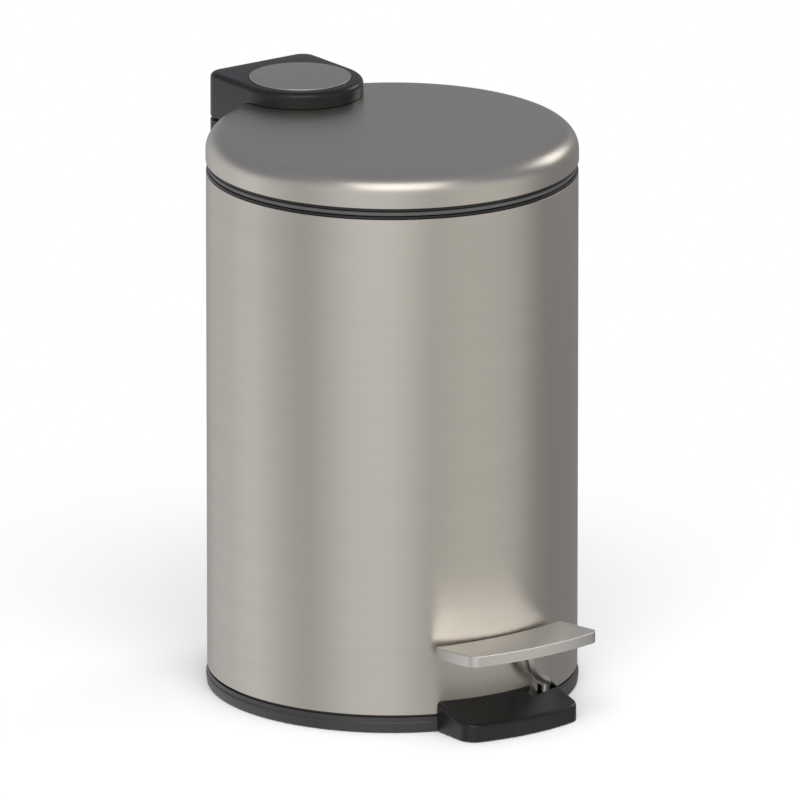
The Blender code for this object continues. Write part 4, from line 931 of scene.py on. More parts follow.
@dataclass
class Body:
    """The steel tube and the collar that caps it."""

    common: Common
    edge: float = 0.00025
    collar_width: float = 0.0045
    collar_skirt: float = 0.0064
    collar_wall: float = 0.0019
    collar_inset: float = 0.0002
    collar_rounds: Vec = (0.0004, 0.0002, 0.0, 0.0003, 0.0003, 0.0006)
    segments: int = 288

    def build_tube(self) -> Piece:
        """The rolled tube, with the rod's slot, the lever's notch and screw holes."""
        c = self.common
        inner = c.body_radius - c.wall
        profile = softened([(c.body_radius, c.shell_top), (c.body_radius, c.shell_foot),
                            (inner, c.shell_foot), (inner, c.shell_top)], self.edge, 3)
        tube = turned("steel_tube", profile, self.segments)
        half = c.rod_wire / 2 + c.overrun / 2
        slot = box("rod_slot", (-half, c.body_radius / 2, c.rod_jog - half),
                   (half, c.box_rear, c.rod_jog + c.rod_travel + half))
        holes = [c.house_screw_tool(side, c.box_rear) for side in SIDES]
        return combine(tube, [slot, c.crossing_tool("lever_notch"), *holes], Join.CUT)

    def build_collar(self) -> Piece:
        """The ring on the tube's edge: a flange outside and a skirt inside."""
        c = self.common
        outer = c.body_radius - self.collar_inset
        skirt = c.body_radius - c.wall - c.gap
        foot = c.shell_top + c.gap
        low = foot - self.collar_skirt
        profile = softened([(outer, c.collar_top), (outer, foot), (skirt, foot), (skirt, low),
                            (skirt - self.collar_wall, low),
                            (outer - self.collar_width, c.collar_top)], self.collar_rounds, 4)
        collar = turned("rim_collar", profile, self.segments)
        return combine(collar, [c.crank_tool("crank_recess")], Join.CUT)

    def build(self, palette: Palette) -> None:
        """Build and dress both pieces."""
        settle(self.build_tube(), "bin", "brushed_steel", palette.body_steel, "body_shell")
        settle(self.build_collar(), "bin", "black_plastic", palette.black, "top_collar")


@dataclass
class Base:
    """The moulded pan with its ears and post, and the rubber ring below."""

    common: Common
    radius: float = 0.0855
    lift: float = 0.0002
    side_foot: float = 0.0038
    draw_in: float = 0.0004
    neck_depth: float = 0.0016
    neck_height: float = 0.0009
    band_foot: float = 0.0054
    band_inset: float = 0.0006
    floor: float = 0.0025
    spigot: float = 0.0839
    spigot_top: float = 0.024
    foot_radius: float = 0.072
    foot_width: float = 0.006
    foot_height: float = 0.001
    ear: float = 0.003
    ear_radius: float = 0.005
    post_half: float = 0.007
    post_height: float = 0.024
    guide_height: float = 0.007
    guide_wall: float = 0.0018
    rounds: Vec = (0, 0.0012, 0.0004, 0.0004, 0, 0.0001, 0.0001, 0.0003, 0.0002, 0.0003, 0.0001,
                   0.0006, 0.0003, 0, 0, 0.0003, 0)
    post_rounds: Vec = (0, 0.0008, 0.001, 0.0006, 0.0008, 0)
    ring_rounds: Vec = (0.0001, 0.0004, 0.0004, 0.0001)
    segments: int = 288

    def build_pan(self) -> Piece:
        """The pan: ring, neck, spigot, floor, pivot ears and rear post."""
        c = self.common
        neck = c.body_radius - self.neck_depth
        under = c.shell_foot - c.gap
        step = under - self.neck_height
        groove = self.foot_height + c.gap
        out = self.foot_radius + c.gap
        inn = self.foot_radius - self.foot_width - c.gap
        low = self.radius - self.draw_in
        band = self.radius - self.band_inset
        corners = [(0, self.floor), (c.spigot_inner, self.floor),
                   (c.spigot_inner, self.spigot_top), (self.spigot, self.spigot_top),
                   (self.spigot, under), (neck, under), (neck, step), (band, step),
                   (band, self.band_foot), (self.radius, self.band_foot - self.band_inset),
                   (self.radius, self.side_foot), (low, self.lift), (out, self.lift),
                   (out, groove), (inn, groove), (inn, self.lift), (0, self.lift)]
        pan = turned("base_moulding", softened(corners, self.rounds, 4), self.segments)
        px, py, pz = c.pivot
        tools = [self.ear_tool(side) for side in SIDES] + [self.post_tool()]
        combine(pan, tools, Join.ADD)
        holes = [rod("pin_hole", (px - c.pivot_length, py, pz), (px + c.pivot_length, py, pz),
                     c.pivot_pin + c.play, SMALL_STEPS),
                 c.crossing_tool("lever_gate"),
                 rod("rod_hole", (0, c.rod_y, self.spigot_top - c.overrun),
                     (0, c.rod_y, self.spigot_top + self.post_height + c.overrun),
                     c.rod_wire / 2 + c.play, SMALL_STEPS)]
        holes += [c.boss_hole(x, c.spigot_inner - c.overrun, c.body_radius + c.overrun)
                  for x in c.boss_places]
        return combine(pan, holes, Join.CUT)

    def ear_tool(self, side: int) -> Piece:
        """An upright ear with a round top, beside the lever's boss."""
        c = self.common
        px, py, pz = c.pivot
        start = px + side * (c.pivot_length / 2 + c.gap)
        low, high = sorted((start, start + side * self.ear))
        foot = self.floor - (self.floor - self.lift) / 2
        outline = np.concatenate([arc((py, pz), self.ear_radius, 0, 180, 32),
                                  [(py - self.ear_radius, foot), (py + self.ear_radius, foot)]])
        return prism("ear", outline, low, high, "X")

    def post_tool(self) -> Piece:
        """The rib behind the rod, with the rod's guide at its top."""
        c = self.common
        top = self.spigot_top + self.post_height
        wall = self.spigot - c.spigot_inner
        reach = math.sqrt(self.spigot ** 2 - self.post_half ** 2)
        back = reach - wall
        front = c.rod_y - c.rod_wire / 2 - self.guide_wall
        foot = self.spigot_top - (self.floor - self.lift)
        outline = [(reach, foot), (reach, top), (front, top), (front, top - self.guide_height),
                   (back, top - self.guide_height), (back, foot)]
        return prism("post", softened(outline, self.post_rounds, 4),
                     -self.post_half, self.post_half, "X")

    def build_ring(self) -> Piece:
        """The rubber ring in the pan's groove."""
        inner = self.foot_radius - self.foot_width
        profile = softened([(self.foot_radius, self.foot_height), (self.foot_radius, 0),
                            (inner, 0), (inner, self.foot_height)], self.ring_rounds, 4)
        return turned("rubber_ring", profile, self.segments // 2)

    def build(self, palette: Palette) -> None:
        """Build and dress both pieces."""
        settle(self.build_pan(), "bin", "black_plastic", palette.pan, "base_pan")
        settle(self.build_ring(), "bin", "foot_rubber", palette.rubber, "foot_ring")


@dataclass
class Bucket:
    """The lift-out bucket and its wire handle."""

    common: Common
    lift: float = 0.038
    wall: float = 0.0012
    top_radius: float = 0.0725
    foot_radius: float = 0.069
    foot_round: float = 0.003
    rim_radius: float = 0.0844
    lug_outer: float = 0.0794
    lug_thickness: float = 0.002
    lug_width: float = 0.008
    wire: float = 0.0026
    bail_play: float = 0.0006
    rim_rounds: Vec = (0.0006, 0.0004, 0.0003)
    mouth_round: float = 0.001
    segments: int = 240

    @property
    def axis_z(self) -> float:
        """Height of the handle's axis."""
        return self.common.rim_top + self.bail_play + self.wire / 2

    def build_bucket(self) -> Piece:
        """The tapered bucket with its flat rim, a foot round and two lugs."""
        c = self.common
        slope = (self.top_radius - self.foot_radius) / (c.rim_foot - self.lift)
        inner_foot = self.foot_radius - self.wall
        floor = self.lift + self.wall
        inner_top = inner_foot + slope * (c.rim_top - floor)
        corners = [(self.rim_radius, c.rim_top), (self.rim_radius, c.rim_foot),
                   (self.top_radius, c.rim_foot), (self.foot_radius, self.lift),
                   (0, self.lift), (0, floor), (inner_foot, floor), (inner_top, c.rim_top)]
        reaches = (*self.rim_rounds, self.foot_round, 0, 0, self.foot_round, self.mouth_round)
        bucket = turned("waste_bucket", softened(corners, reaches, 8), self.segments)
        combine(bucket, [c.crank_tool("crank_recess")], Join.CUT)
        combine(bucket, [self.lug_tool(side) for side in SIDES], Join.ADD)
        hole = rod("lug_holes", (-c.body_radius, 0, self.axis_z), (c.body_radius, 0, self.axis_z),
                   self.wire / 2 + c.play, SMALL_STEPS)
        return combine(bucket, [hole], Join.CUT)

    def lug_tool(self, side: int) -> Piece:
        """A round-topped lug on the rim."""
        c = self.common
        low, high = sorted((side * self.lug_outer, side * (self.lug_outer - self.lug_thickness)))
        half = self.lug_width / 2
        foot = (c.rim_top + c.rim_foot) / 2
        outline = np.concatenate([arc((0, self.axis_z), self.wire, 0, 180, 24),
                                  [(-half, c.rim_top), (-half, foot), (half, foot),
                                   (half, c.rim_top)]])
        return prism("lug", outline, low, high, "X")

    def build_bail(self) -> Piece:
        """The wire bow on the rim, with both ends turned out through the lugs."""
        c = self.common
        radius = self.lug_outer - self.lug_thickness - c.gap * 2 - self.wire
        bow = arc((0, 0), radius, 180, 360, 96)[1:-1]
        tip = self.lug_outer + c.gap
        knee = radius + self.wire / 2
        flat = np.concatenate([[(-tip, 0), (-knee, 0)], bow, [(knee, 0), (tip, 0)]])
        path = np.column_stack([flat, np.full(len(flat), self.axis_z)])
        section = arc((0, 0), self.wire / 2, 0, 360, WIRE_STEPS)[:-1]
        return swept("bucket_handle", path, section, (0, 0, 1))

    def build(self, palette: Palette) -> None:
        """Build and dress both pieces."""
        settle(self.build_bucket(), "bin", "bucket_plastic", palette.bucket, "inner_bucket")
        settle(self.build_bail(), "bail", "bright_wire", palette.wire_steel, "bucket_bail")


@dataclass
class Lid:
    """The pressed steel lid and its moulded liner."""

    common: Common
    shoulder_run: float = 0.0101
    shoulder_rise: float = 0.0102
    lid_round: float = 0.00035
    liner_wall: float = 0.0014
    liner_run: float = 0.001
    liner_round: float = 0.0004
    steps: int = 20
    segments: int = 288

    def outline(self, inset: float) -> Array:
        """The lid's outline from the flat top to the skirt, moved inwards.

        It is a quarter of an ellipse: radius = flat + run cos a, height = base
        + rise sin a, with the inset taken off the run and the rise.
        """
        c = self.common
        flat = c.lid_radius - self.shoulder_run
        base = c.lid_top - self.shoulder_rise
        angle = np.linspace(QUARTER, 0.0, self.steps + 1)
        return np.stack([flat + (self.shoulder_run - inset) * np.cos(angle),
                         base + (self.shoulder_rise - inset) * np.sin(angle)], 1)

    def pressed(self, name: str, shell: float, wall: float, foot: float, run: float,
                round_edge: float) -> Piece:
        """A pressing of the lid's outline with a straight skirt.

        Args:
            name: Name of the piece.
            shell: How far its outside lies inside the lid's.
            wall: Its thickness.
            foot: Height of its lower edge.
            run: Height over which the skirt's edge is drawn.
            round_edge: Reach of the edge's rounds.

        Returns:
            The pressing, uncut.
        """
        c = self.common
        radius = c.lid_radius - shell
        top = c.lid_top - shell
        edge = softened([(radius, foot + run), (radius, foot), (radius - wall, foot),
                         (radius - wall, foot + run)], (0, round_edge, round_edge, 0), 3)
        profile = np.concatenate([[(0, top)], self.outline(shell), edge,
                                  self.outline(shell + wall)[::-1], [(0, top - wall)]])
        return turned(name, profile, self.segments)

    def notched(self, piece: Piece, foot: float) -> Piece:
        """Cut the hinge arm's notch and the screw holes out of a pressing."""
        c = self.common
        return combine(piece, [c.arm_notch("arm_notch", foot),
                               *(c.lid_screw_tool(side) for side in SIDES)], Join.CUT)

    def build_lid(self) -> Piece:
        """The steel lid: flat top, elliptical shoulder and straight skirt."""
        c = self.common
        lid = self.pressed("steel_lid", 0.0, c.wall, c.lid_foot, c.wall, self.lid_round)
        return self.notched(lid, c.rim_top)

    def build_liner(self) -> Piece:
        """The moulded inner lid, whose skirt rests on the bucket's rim."""
        c = self.common
        liner = self.pressed("lid_lining", c.wall + c.gap, self.liner_wall, c.rim_top + c.gap,
                             self.liner_run, self.liner_round)
        return self.notched(liner, c.lid_foot - c.overrun)

    def space_tool(self) -> Piece:
        """The lid's outside with a gap all round."""
        c = self.common
        profile = np.concatenate([[(0, c.lid_top + c.gap)], self.outline(-c.gap),
                                  [(c.lid_radius + c.gap, c.rim_foot), (0, c.rim_foot)]])
        return turned("lid_space", profile, self.segments)

    def build(self, palette: Palette) -> None:
        """Build and dress both pieces."""
        settle(self.build_lid(), "lid", "brushed_steel", palette.lid_steel, "lid_shell")
        settle(self.build_liner(), "lid", "black_plastic", palette.black, "lid_liner")


@dataclass
class HingeBox:
    """The two-part box behind the lid, its badge, the hinge arm and the pin."""

    common: Common
    lid: Lid
    half: float = 0.029
    corner: float = 0.0075
    wall: float = 0.002
    edge: float = 0.0027
    foot_edge: float = 0.0012
    cover_foot: float = 0.2492
    cover_top: float = 0.2705
    ceiling: float = 0.0024
    housing_top: float = 0.2483
    housing_floor: float = 0.0022
    boss_radius: float = 0.0032
    housing_boss: float = 0.0034
    knuckle: float = 0.0025
    ear_start: float = 0.008
    badge_y: float = 0.0718
    badge_radius: float = 0.0235
    badge_thickness: float = 0.0016
    badge_proud: float = 0.0006
    badge_edge: float = 0.0004
    badge_foot_edge: float = 0.0002
    housing_top_edge: float = 0.0002
    pin_radius: float = 0.001
    pin_chamfer: float = 0.0002
    corner_steps: int = 12
    nose_steps: int = 96
    badge_steps: int = 160
    recess_steps: int = 128

    def outline(self, inset: float, with_nose: bool) -> Array:
        """Plan of the box: round rear corners and, on the cover, a round nose."""
        c = self.common
        half = self.half - inset
        corner = self.corner - inset
        middle = (self.half - self.corner, c.box_rear - self.corner)
        parts = [arc(middle, corner, 0, 90, self.corner_steps),
                 arc((-middle[0], middle[1]), corner, 90, 180, self.corner_steps)]
        if with_nose:
            parts.append(arc((0, self.badge_y), half, 180, 360, self.nose_steps))
        else:
            parts.append(np.array([(-half, c.body_radius / 2), (half, c.body_radius / 2)]))
        return np.concatenate(parts)

    def levels(self, low: float, high: float, low_edge: float, high_edge: float,
               with_nose: bool, name: str) -> Piece:
        """Stack the plan with quarter-round edges below and above.

        An edge of radius e pulls the plan in by e (1 - cos t) while the height
        moves by e (1 - sin t), for t from 0 to a right angle.

        Args:
            low: Height of the foot.
            high: Height of the top.
            low_edge: Radius of the lower edge.
            high_edge: Radius of the upper edge.
            with_nose: True for the cover's plan.
            name: Name of the piece.

        Returns:
            The body.
        """
        turn = np.linspace(0.0, QUARTER, EDGE_STEPS)
        insets = np.concatenate([low_edge * (1 - np.sin(turn)), high_edge * (1 - np.cos(turn))])
        heights = np.concatenate([low + low_edge * (1 - np.cos(turn)),
                                  high - high_edge * (1 - np.sin(turn))])
        plans = np.stack([self.outline(inset, with_nose) for inset in insets])
        place = np.broadcast_to(heights[:, None, None], (*plans.shape[:2], 1))
        return lofted(name, np.concatenate([plans, place], 2))

    def build_cover(self) -> Piece:
        """The upper half: hollow, with bosses, and cut to the lid's shape."""
        c = self.common
        cover = self.levels(self.cover_foot, self.cover_top, self.foot_edge, self.edge, True,
                            "hinge_box_cover")
        seat = self.cover_top - self.badge_thickness + self.badge_proud - c.gap
        ceiling = seat - self.ceiling
        combine(cover, [prism("hollow", self.outline(self.wall, True),
                              self.cover_foot - c.overrun, ceiling)], Join.CUT)
        bosses = [rod("boss", (side * c.lid_screw_x, c.lid_screw_y, c.lid_top + c.gap),
                      (side * c.lid_screw_x, c.lid_screw_y, ceiling + self.ceiling / 2),
                      self.boss_radius, SMALL_STEPS) for side in SIDES]
        combine(cover, bosses, Join.ADD)
        reach = self.knuckle + c.gap * 2
        cuts = [self.lid.space_tool(),
                box("knuckle_space", (-c.ear_end - c.gap, c.axis_y - reach,
                                      self.cover_foot - c.overrun),
                    (c.ear_end + c.gap, c.box_rear + c.overrun, c.axis_z + reach)),
                rod("badge_recess", (0, self.badge_y, seat),
                    (0, self.badge_y, self.cover_top + c.overrun), self.badge_radius + c.gap,
                    self.recess_steps)]
        cuts += [c.screw_hole((side * c.lid_screw_x, c.lid_screw_y, c.lid_top - c.overrun),
                              (side * c.lid_screw_x, c.lid_screw_y,
                               c.lid_top + c.screw_bite + c.gap)) for side in SIDES]
        return combine(cover, cuts, Join.CUT, CUT_ANGLE)

    def build_badge(self) -> Piece:
        """The plain round plate let into the cover."""
        top = self.cover_top + self.badge_proud
        profile = softened([(0, top), (self.badge_radius, top),
                            (self.badge_radius, top - self.badge_thickness),
                            (0, top - self.badge_thickness)],
                           (0, self.badge_edge, self.badge_foot_edge, 0), 5)
        return turned("round_badge", profile, self.badge_steps, (0, self.badge_y, 0))

    def ear_tool(self, side: int) -> Piece:
        """An ear that rises out of the rear wall and holds the pin."""
        c = self.common
        low, high = sorted((side * self.ear_start, side * c.ear_end))
        foot = self.housing_top - self.knuckle * 4
        outline = np.concatenate([
            arc((c.axis_y, c.axis_z), self.knuckle, 0, 180, 24),
            [(c.axis_y - self.knuckle, self.housing_top - self.knuckle), (c.axis_y, foot),
             (c.axis_y + self.knuckle, foot)]])
        return prism("ear", outline, low, high, "X")

    def build_housing(self) -> Piece:
        """The lower half behind the body: hollow, with screw bosses and ears."""
        c = self.common
        housing = self.levels(c.housing_foot, self.housing_top, self.edge,
                              self.housing_top_edge, False, "hinge_box_housing")
        combine(housing, [prism("hollow", self.outline(self.wall, False),
                                c.housing_foot + self.housing_floor,
                                self.housing_top + c.overrun)], Join.CUT)
        adds = [rod("boss", (side * c.house_screw_x, c.body_radius - self.wall, c.house_screw_z),
                    (side * c.house_screw_x, c.box_rear - self.wall / 2, c.house_screw_z),
                    self.housing_boss, SMALL_STEPS) for side in SIDES]
        combine(housing, adds + [self.ear_tool(side) for side in SIDES], Join.ADD)
        radius = c.body_radius + c.gap
        space = np.array([(radius, c.lid_top), (radius, c.housing_foot - c.overrun),
                          (0, c.housing_foot - c.overrun), (0, c.lid_top)])
        cuts = [turned("body_space", space, self.lid.segments),
                rod("pin_hole", (-c.ear_end - c.overrun, c.axis_y, c.axis_z),
                    (c.ear_end + c.overrun, c.axis_y, c.axis_z), self.pin_radius + c.play,
                    HOLE_STEPS)]
        cuts += [c.house_screw_tool(side, c.body_radius + c.screw_bite + c.gap)
                 for side in SIDES]
        return combine(housing, cuts, Join.CUT, CUT_ANGLE)

    def build_pin(self) -> Piece:
        """The hinge pin, with small chamfers at its ends."""
        c = self.common
        length = 2 * c.ear_end
        profile = softened([(0, 0), (self.pin_radius, 0), (self.pin_radius, length), (0, length)],
                           (0, self.pin_chamfer, self.pin_chamfer, 0), 3)
        return turned("lid_pin", profile, PIN_STEPS, (-c.ear_end, c.axis_y, c.axis_z), (1, 0, 0))

    def build(self, palette: Palette) -> None:
        """Build and dress the pieces; the arm keeps its solid."""
        settle(self.build_cover(), "lid", "black_plastic", palette.black, "hinge_cover")
        settle(self.build_badge(), "lid", "satin_metal", palette.badge_steel, "badge_disc")
        settle(self.build_housing(), "bin", "black_plastic", palette.black, "hinge_housing")
        settle(self.build_pin(), "bin", "bright_wire", palette.wire_steel, "hinge_pin")
        dress_node("hinge_arm", palette.black)


def plan_depth(x: Array, middle: float, bow: float) -> Array:
    """Distance of a plan arc in front of the axis: middle - bow + sqrt(bow^2 - x^2)."""
    return middle - bow + np.sqrt(bow ** 2 - x ** 2)


def round_pull(x: Array, half_width: float, corner: float) -> Array:
    """How far a rounded corner draws the outline in at x: corner - sqrt(corner^2 - in^2)."""
    inside = np.clip(np.abs(x) - half_width + corner, 0.0, corner)
    return corner - np.sqrt(corner ** 2 - inside ** 2)


def rounded_bar(name: str, arcs: tuple[Vec, Vec], heights: Vec, half_width: float, corners: Vec,
                edge: float) -> Piece:
    """A bowed bar across the front with straight ends, as closed columns side by side.

    A column is cut at one x: foot behind, a quarter round, the top, a quarter
    round and foot in front. Towards both ends the top comes down by
    edge - sqrt(edge^2 - inside^2), which rounds the end edges too. The top's
    height goes by the distance from the axis.

    Args:
        name: Name of the piece.
        arcs: Middle and bow of the plan arc behind and of the one in front.
        heights: Foot, top at the arc behind and top at the arc in front.
        half_width: Half of its width.
        corners: Plan radius of the corners behind and in front.
        edge: Radius of the upper edges.

    Returns:
        The body.
    """
    (inner, inner_bow), (outer, outer_bow) = arcs
    low, rear_top, front_top = heights
    behind, ahead = corners
    slope = (front_top - rear_top) / (outer - inner)
    side = half_width - max(behind, ahead) * (1 - np.sin(np.linspace(0.0, QUARTER, END_COLUMNS)))
    middle = np.linspace(-side[0], side[0], MIDDLE_COLUMNS)[1:-1]
    x = np.concatenate([-side[::-1], middle, side])[:, None]
    rear = plan_depth(x, inner, inner_bow) + round_pull(x, half_width, behind)
    front = plan_depth(x, outer, outer_bow) - round_pull(x, half_width, ahead)
    inside = np.clip(edge - half_width + np.abs(x), 0.0, edge)
    drop = edge - np.sqrt(edge ** 2 - inside ** 2)
    rear_height = rear_top + slope * (np.hypot(x, rear) - inner) - drop
    front_height = rear_top + slope * (np.hypot(x, front) - inner) - drop
    turn = np.linspace(0.0, QUARTER, EDGE_STEPS)[None]
    if behind:
        rear_depth = rear + edge * (1 - np.cos(turn))
        rear_rise = rear_height - edge * (1 - np.sin(turn))
    else:
        rear_depth, rear_rise = rear, rear_height
    depth = np.concatenate([rear, rear_depth, front - edge * (1 - np.sin(turn)), front], 1)
    height = np.concatenate([np.full_like(rear, low), rear_rise,
                             front_height - edge * (1 - np.cos(turn)),
                             np.full_like(front, low)], 1)
    rings = np.stack([np.broadcast_to(x, depth.shape), -depth, height], -1)
    return lofted(name, rings)


@dataclass
class Pedal:
    """The lever with its plate, the housing that it dips into and its pivot pin."""

    common: Common
    plate_top: float = 0.042
    plate_rise: float = 0.0025
    plate_height: float = 0.0052
    plate_wall: float = 0.0015
    plate_inner: float = 0.0862
    plate_outer: float = 0.1162
    plate_half: float = 0.0357
    plate_bows: tuple[float, float] = (0.135, 0.124)
    plate_corners: tuple[float, float] = (0.0022, 0.0045)
    plate_edge: float = 0.0006
    boss_radius: float = 0.0028
    boss_height: float = 0.0021
    pad_length: float = 0.024
    pad_depth: float = 0.009
    pad_thickness: float = 0.0018
    pad_corner: float = 0.0015
    arm_top_x: float = 0.0088
    arm_top_out: float = 0.0095
    arm_foot_x: float = 0.025
    arm_foot_out: float = 0.0032
    arm_foot_height: float = 0.0156
    arm_bend: Vec = (0.15, 0.5, 0.75)
    crossing_run: float = 0.01
    lever_edge: float = 0.001
    eye_x: float = 0.004
    eye_radius: float = 0.0034
    eye_length: float = 0.004
    eye_play: float = 0.0006
    boss_turn_radius: float = 0.0042
    block_outer: float = 0.1073
    block_half: float = 0.032
    block_lift: float = 0.0005
    block_rear: float = 0.0145
    block_front: float = 0.0085
    block_wall: float = 0.0018
    block_corner: float = 0.006
    block_edge: float = 0.0024
    gate_edge: tuple[float, float] = (0.0165, 0.0006)
    gate_play: float = 0.0008
    block_boss: float = 0.0026
    block_boss_length: float = 0.007
    pin_head: float = 0.0012
    pin_head_radius: float = 0.0026
    pin_rounds: Vec = (0, 0.0003, 0, 0.0002, 0.0006, 0)
    path_steps: int = 24
    gate_steps: int = 6
    ear: float = 0.003

    def circle_y(self, x: float, radius: float) -> float:
        """Y on the front half of a circle about the bin's axis."""
        return -math.sqrt(radius ** 2 - x ** 2)

    def arm_ends(self) -> tuple[Array, Array, Array]:
        """Top, bend and foot of the visible arm, the points of its curve."""
        c = self.common
        pad_foot = (self.plate_top - self.plate_wall - self.boss_height - c.gap
                    - self.pad_thickness)
        top = np.array([self.arm_top_x,
                        self.circle_y(self.arm_top_x, c.body_radius + self.arm_top_out),
                        pad_foot + self.pad_thickness / 2])
        foot = np.array([self.arm_foot_x,
                         self.circle_y(self.arm_foot_x, c.body_radius + self.arm_foot_out),
                         self.arm_foot_height])
        bend = top + (foot - top) * np.array(self.arm_bend)
        return top, bend, foot

    def lever_path(self, steps: int) -> Array:
        """The lever's middle line: a quadratic curve, then straight runs.

        Args:
            steps: Straight pieces of the curve.

        Returns:
            Array (k, 3) from the plate to the rod's eye.
        """
        c = self.common
        top, bend, foot = self.arm_ends()
        t = np.linspace(0.0, 1.0, steps + 1)[:, None]
        curve = top * (1 - t) ** 2 + bend * 2 * t * (1 - t) + foot * t ** 2
        x, z = c.crossing
        y = self.circle_y(x, c.body_radius + c.lever_thickness / 2)
        tail = np.array([(x, y, z), (x, y + self.crossing_run, z), c.pivot,
                         (self.eye_x, c.pivot[1] + c.lever_length * math.cos(c.lever_tilt),
                          c.rod_foot)])
        return np.concatenate([curve, tail])

    def build_lever(self) -> Piece:
        """The bent bar with its pad, pivot boss, rod eye and holes."""
        c = self.common
        a, b = c.lever_width / 2, c.lever_thickness / 2
        section = softened([(a, -b), (a, b), (-a, b), (-a, -b)], self.lever_edge, 4)
        path = self.lever_path(self.path_steps)
        lever = swept("pedal_arm", path, section, (1, 0, 0))
        top, eye = path[0], path[-1]
        low = top[2] - self.pad_thickness / 2
        px, py, pz = c.pivot
        half, eye_half = c.pivot_length / 2, self.eye_length / 2
        adds = [self.pad_tool(top, low),
                rod("boss", (px - half, py, pz), (px + half, py, pz), self.boss_turn_radius,
                    EYE_STEPS),
                rod("eye", eye - (eye_half, 0, 0), eye + (eye_half, 0, 0), self.eye_radius,
                    EYE_STEPS)]
        combine(lever, adds, Join.ADD)
        cuts = [rod("pin_hole", (px - c.pivot_length, py, pz), (px + c.pivot_length, py, pz),
                    c.pivot_pin + c.play, SMALL_STEPS), self.eye_tool(eye)]
        cuts += [self.screw_tool(side) for side in SIDES]
        return combine(lever, cuts, Join.CUT, CUT_ANGLE)

    def pad_tool(self, top: Array, low: float) -> Piece:
        """The flat pad under the plate, with round corners in plan."""
        a, b = self.pad_length / 2, self.pad_depth / 2
        x, y = top[0], top[1]
        outline = softened([(x - a, y - b), (x + a, y - b), (x + a, y + b), (x - a, y + b)],
                           self.pad_corner, 5)
        return prism("pad", outline, low, low + self.pad_thickness)

    def eye_tool(self, eye: Array) -> Piece:
        """The slot in the lever's end for the rod's pin."""
        c = self.common
        radius = c.rod_wire / 2 + c.play
        outline = np.concatenate([arc((eye[1] + self.eye_play, eye[2]), radius, -90, 90, 16),
                                  arc((eye[1] - self.eye_play / 2, eye[2]), radius, 90, 270, 16)])
        return prism("eye_slot", outline, eye[0] - self.eye_length, eye[0] + self.eye_length, "X")

    def screw_place(self, side: int) -> Array:
        """Where a pedal screw's head meets the pad's underside."""
        top = self.arm_ends()[0]
        x = self.arm_top_x + side * (self.pad_length / 2 - self.boss_radius - self.common.gap)
        return np.array([x, top[1], top[2] - self.pad_thickness / 2])

    def screw_tool(self, side: int) -> Piece:
        """A hole through the pad and up into the plate's boss."""
        c = self.common
        x, y, z = self.screw_place(side)
        return c.screw_hole((x, y, z - c.overrun), (x, y, self.plate_top - self.plate_wall))

    def slope_at(self, y: Any) -> Any:
        """How far the plate's slope has lifted it at y: in step with the depth."""
        return self.plate_rise * (-y - self.plate_inner) / (self.plate_outer - self.plate_inner)

    def raised(self, piece: Piece) -> Piece:
        """Slope a part of the plate, higher in front."""
        points = np.empty(len(piece.data.vertices) * 3)
        piece.data.vertices.foreach_get("co", points)
        points = points.reshape(-1, 3)
        points[:, 2] += self.slope_at(points[:, 1])
        piece.data.vertices.foreach_set("co", points.ravel())
        piece.data.update()
        return piece

    def build_plate(self) -> Piece:
        """The pressed plate: hollow below, with two bosses."""
        c = self.common
        foot = self.plate_top - self.plate_height
        rear_bow, front_bow = self.plate_bows
        plate = rounded_bar("pedal_tread", ((self.plate_inner, rear_bow),
                                            (self.plate_outer, front_bow)),
                            (foot, self.plate_top, self.plate_top), self.plate_half,
                            self.plate_corners, self.plate_edge)
        wall = self.plate_wall
        under = self.plate_top - wall
        behind, ahead = self.plate_corners
        hollow = rounded_bar("hollow", ((self.plate_inner + wall, rear_bow + wall),
                                        (self.plate_outer - wall, front_bow - wall)),
                             (foot - c.overrun, under, under), self.plate_half - wall,
                             (behind - wall, ahead - wall), self.plate_edge)
        combine(self.raised(plate), [self.raised(hollow)], Join.CUT)
        places = [self.screw_place(side) for side in SIDES]
        bosses = [rod("boss", (x, y, under - self.boss_height),
                      (x, y, under + self.slope_at(y) + wall / 2), self.boss_radius, BOSS_STEPS)
                  for x, y, _ in places]
        combine(plate, bosses, Join.ADD)
        return combine(plate, [self.screw_tool(side) for side in SIDES], Join.CUT, CUT_ANGLE)

    def block_top(self, radius: Any) -> Any:
        """Height of the housing's top at a radius."""
        inner = self.common.block_inner
        fall = (self.block_rear - self.block_front) / (self.block_outer - inner)
        return self.block_rear - fall * (radius - inner)

    def block_body(self, inset: float, name: str) -> Piece:
        """The housing's outside, or with an inset the space inside it."""
        c = self.common
        over = c.overrun if inset else 0.0
        inner = c.block_inner - over
        outer = self.block_outer - inset
        return rounded_bar(name, ((inner, inner), (outer, outer)),
                           (self.block_lift - over, self.block_top(inner) - inset,
                            self.block_top(outer) - inset), self.block_half - inset,
                           (0, self.block_corner - inset), self.block_edge)

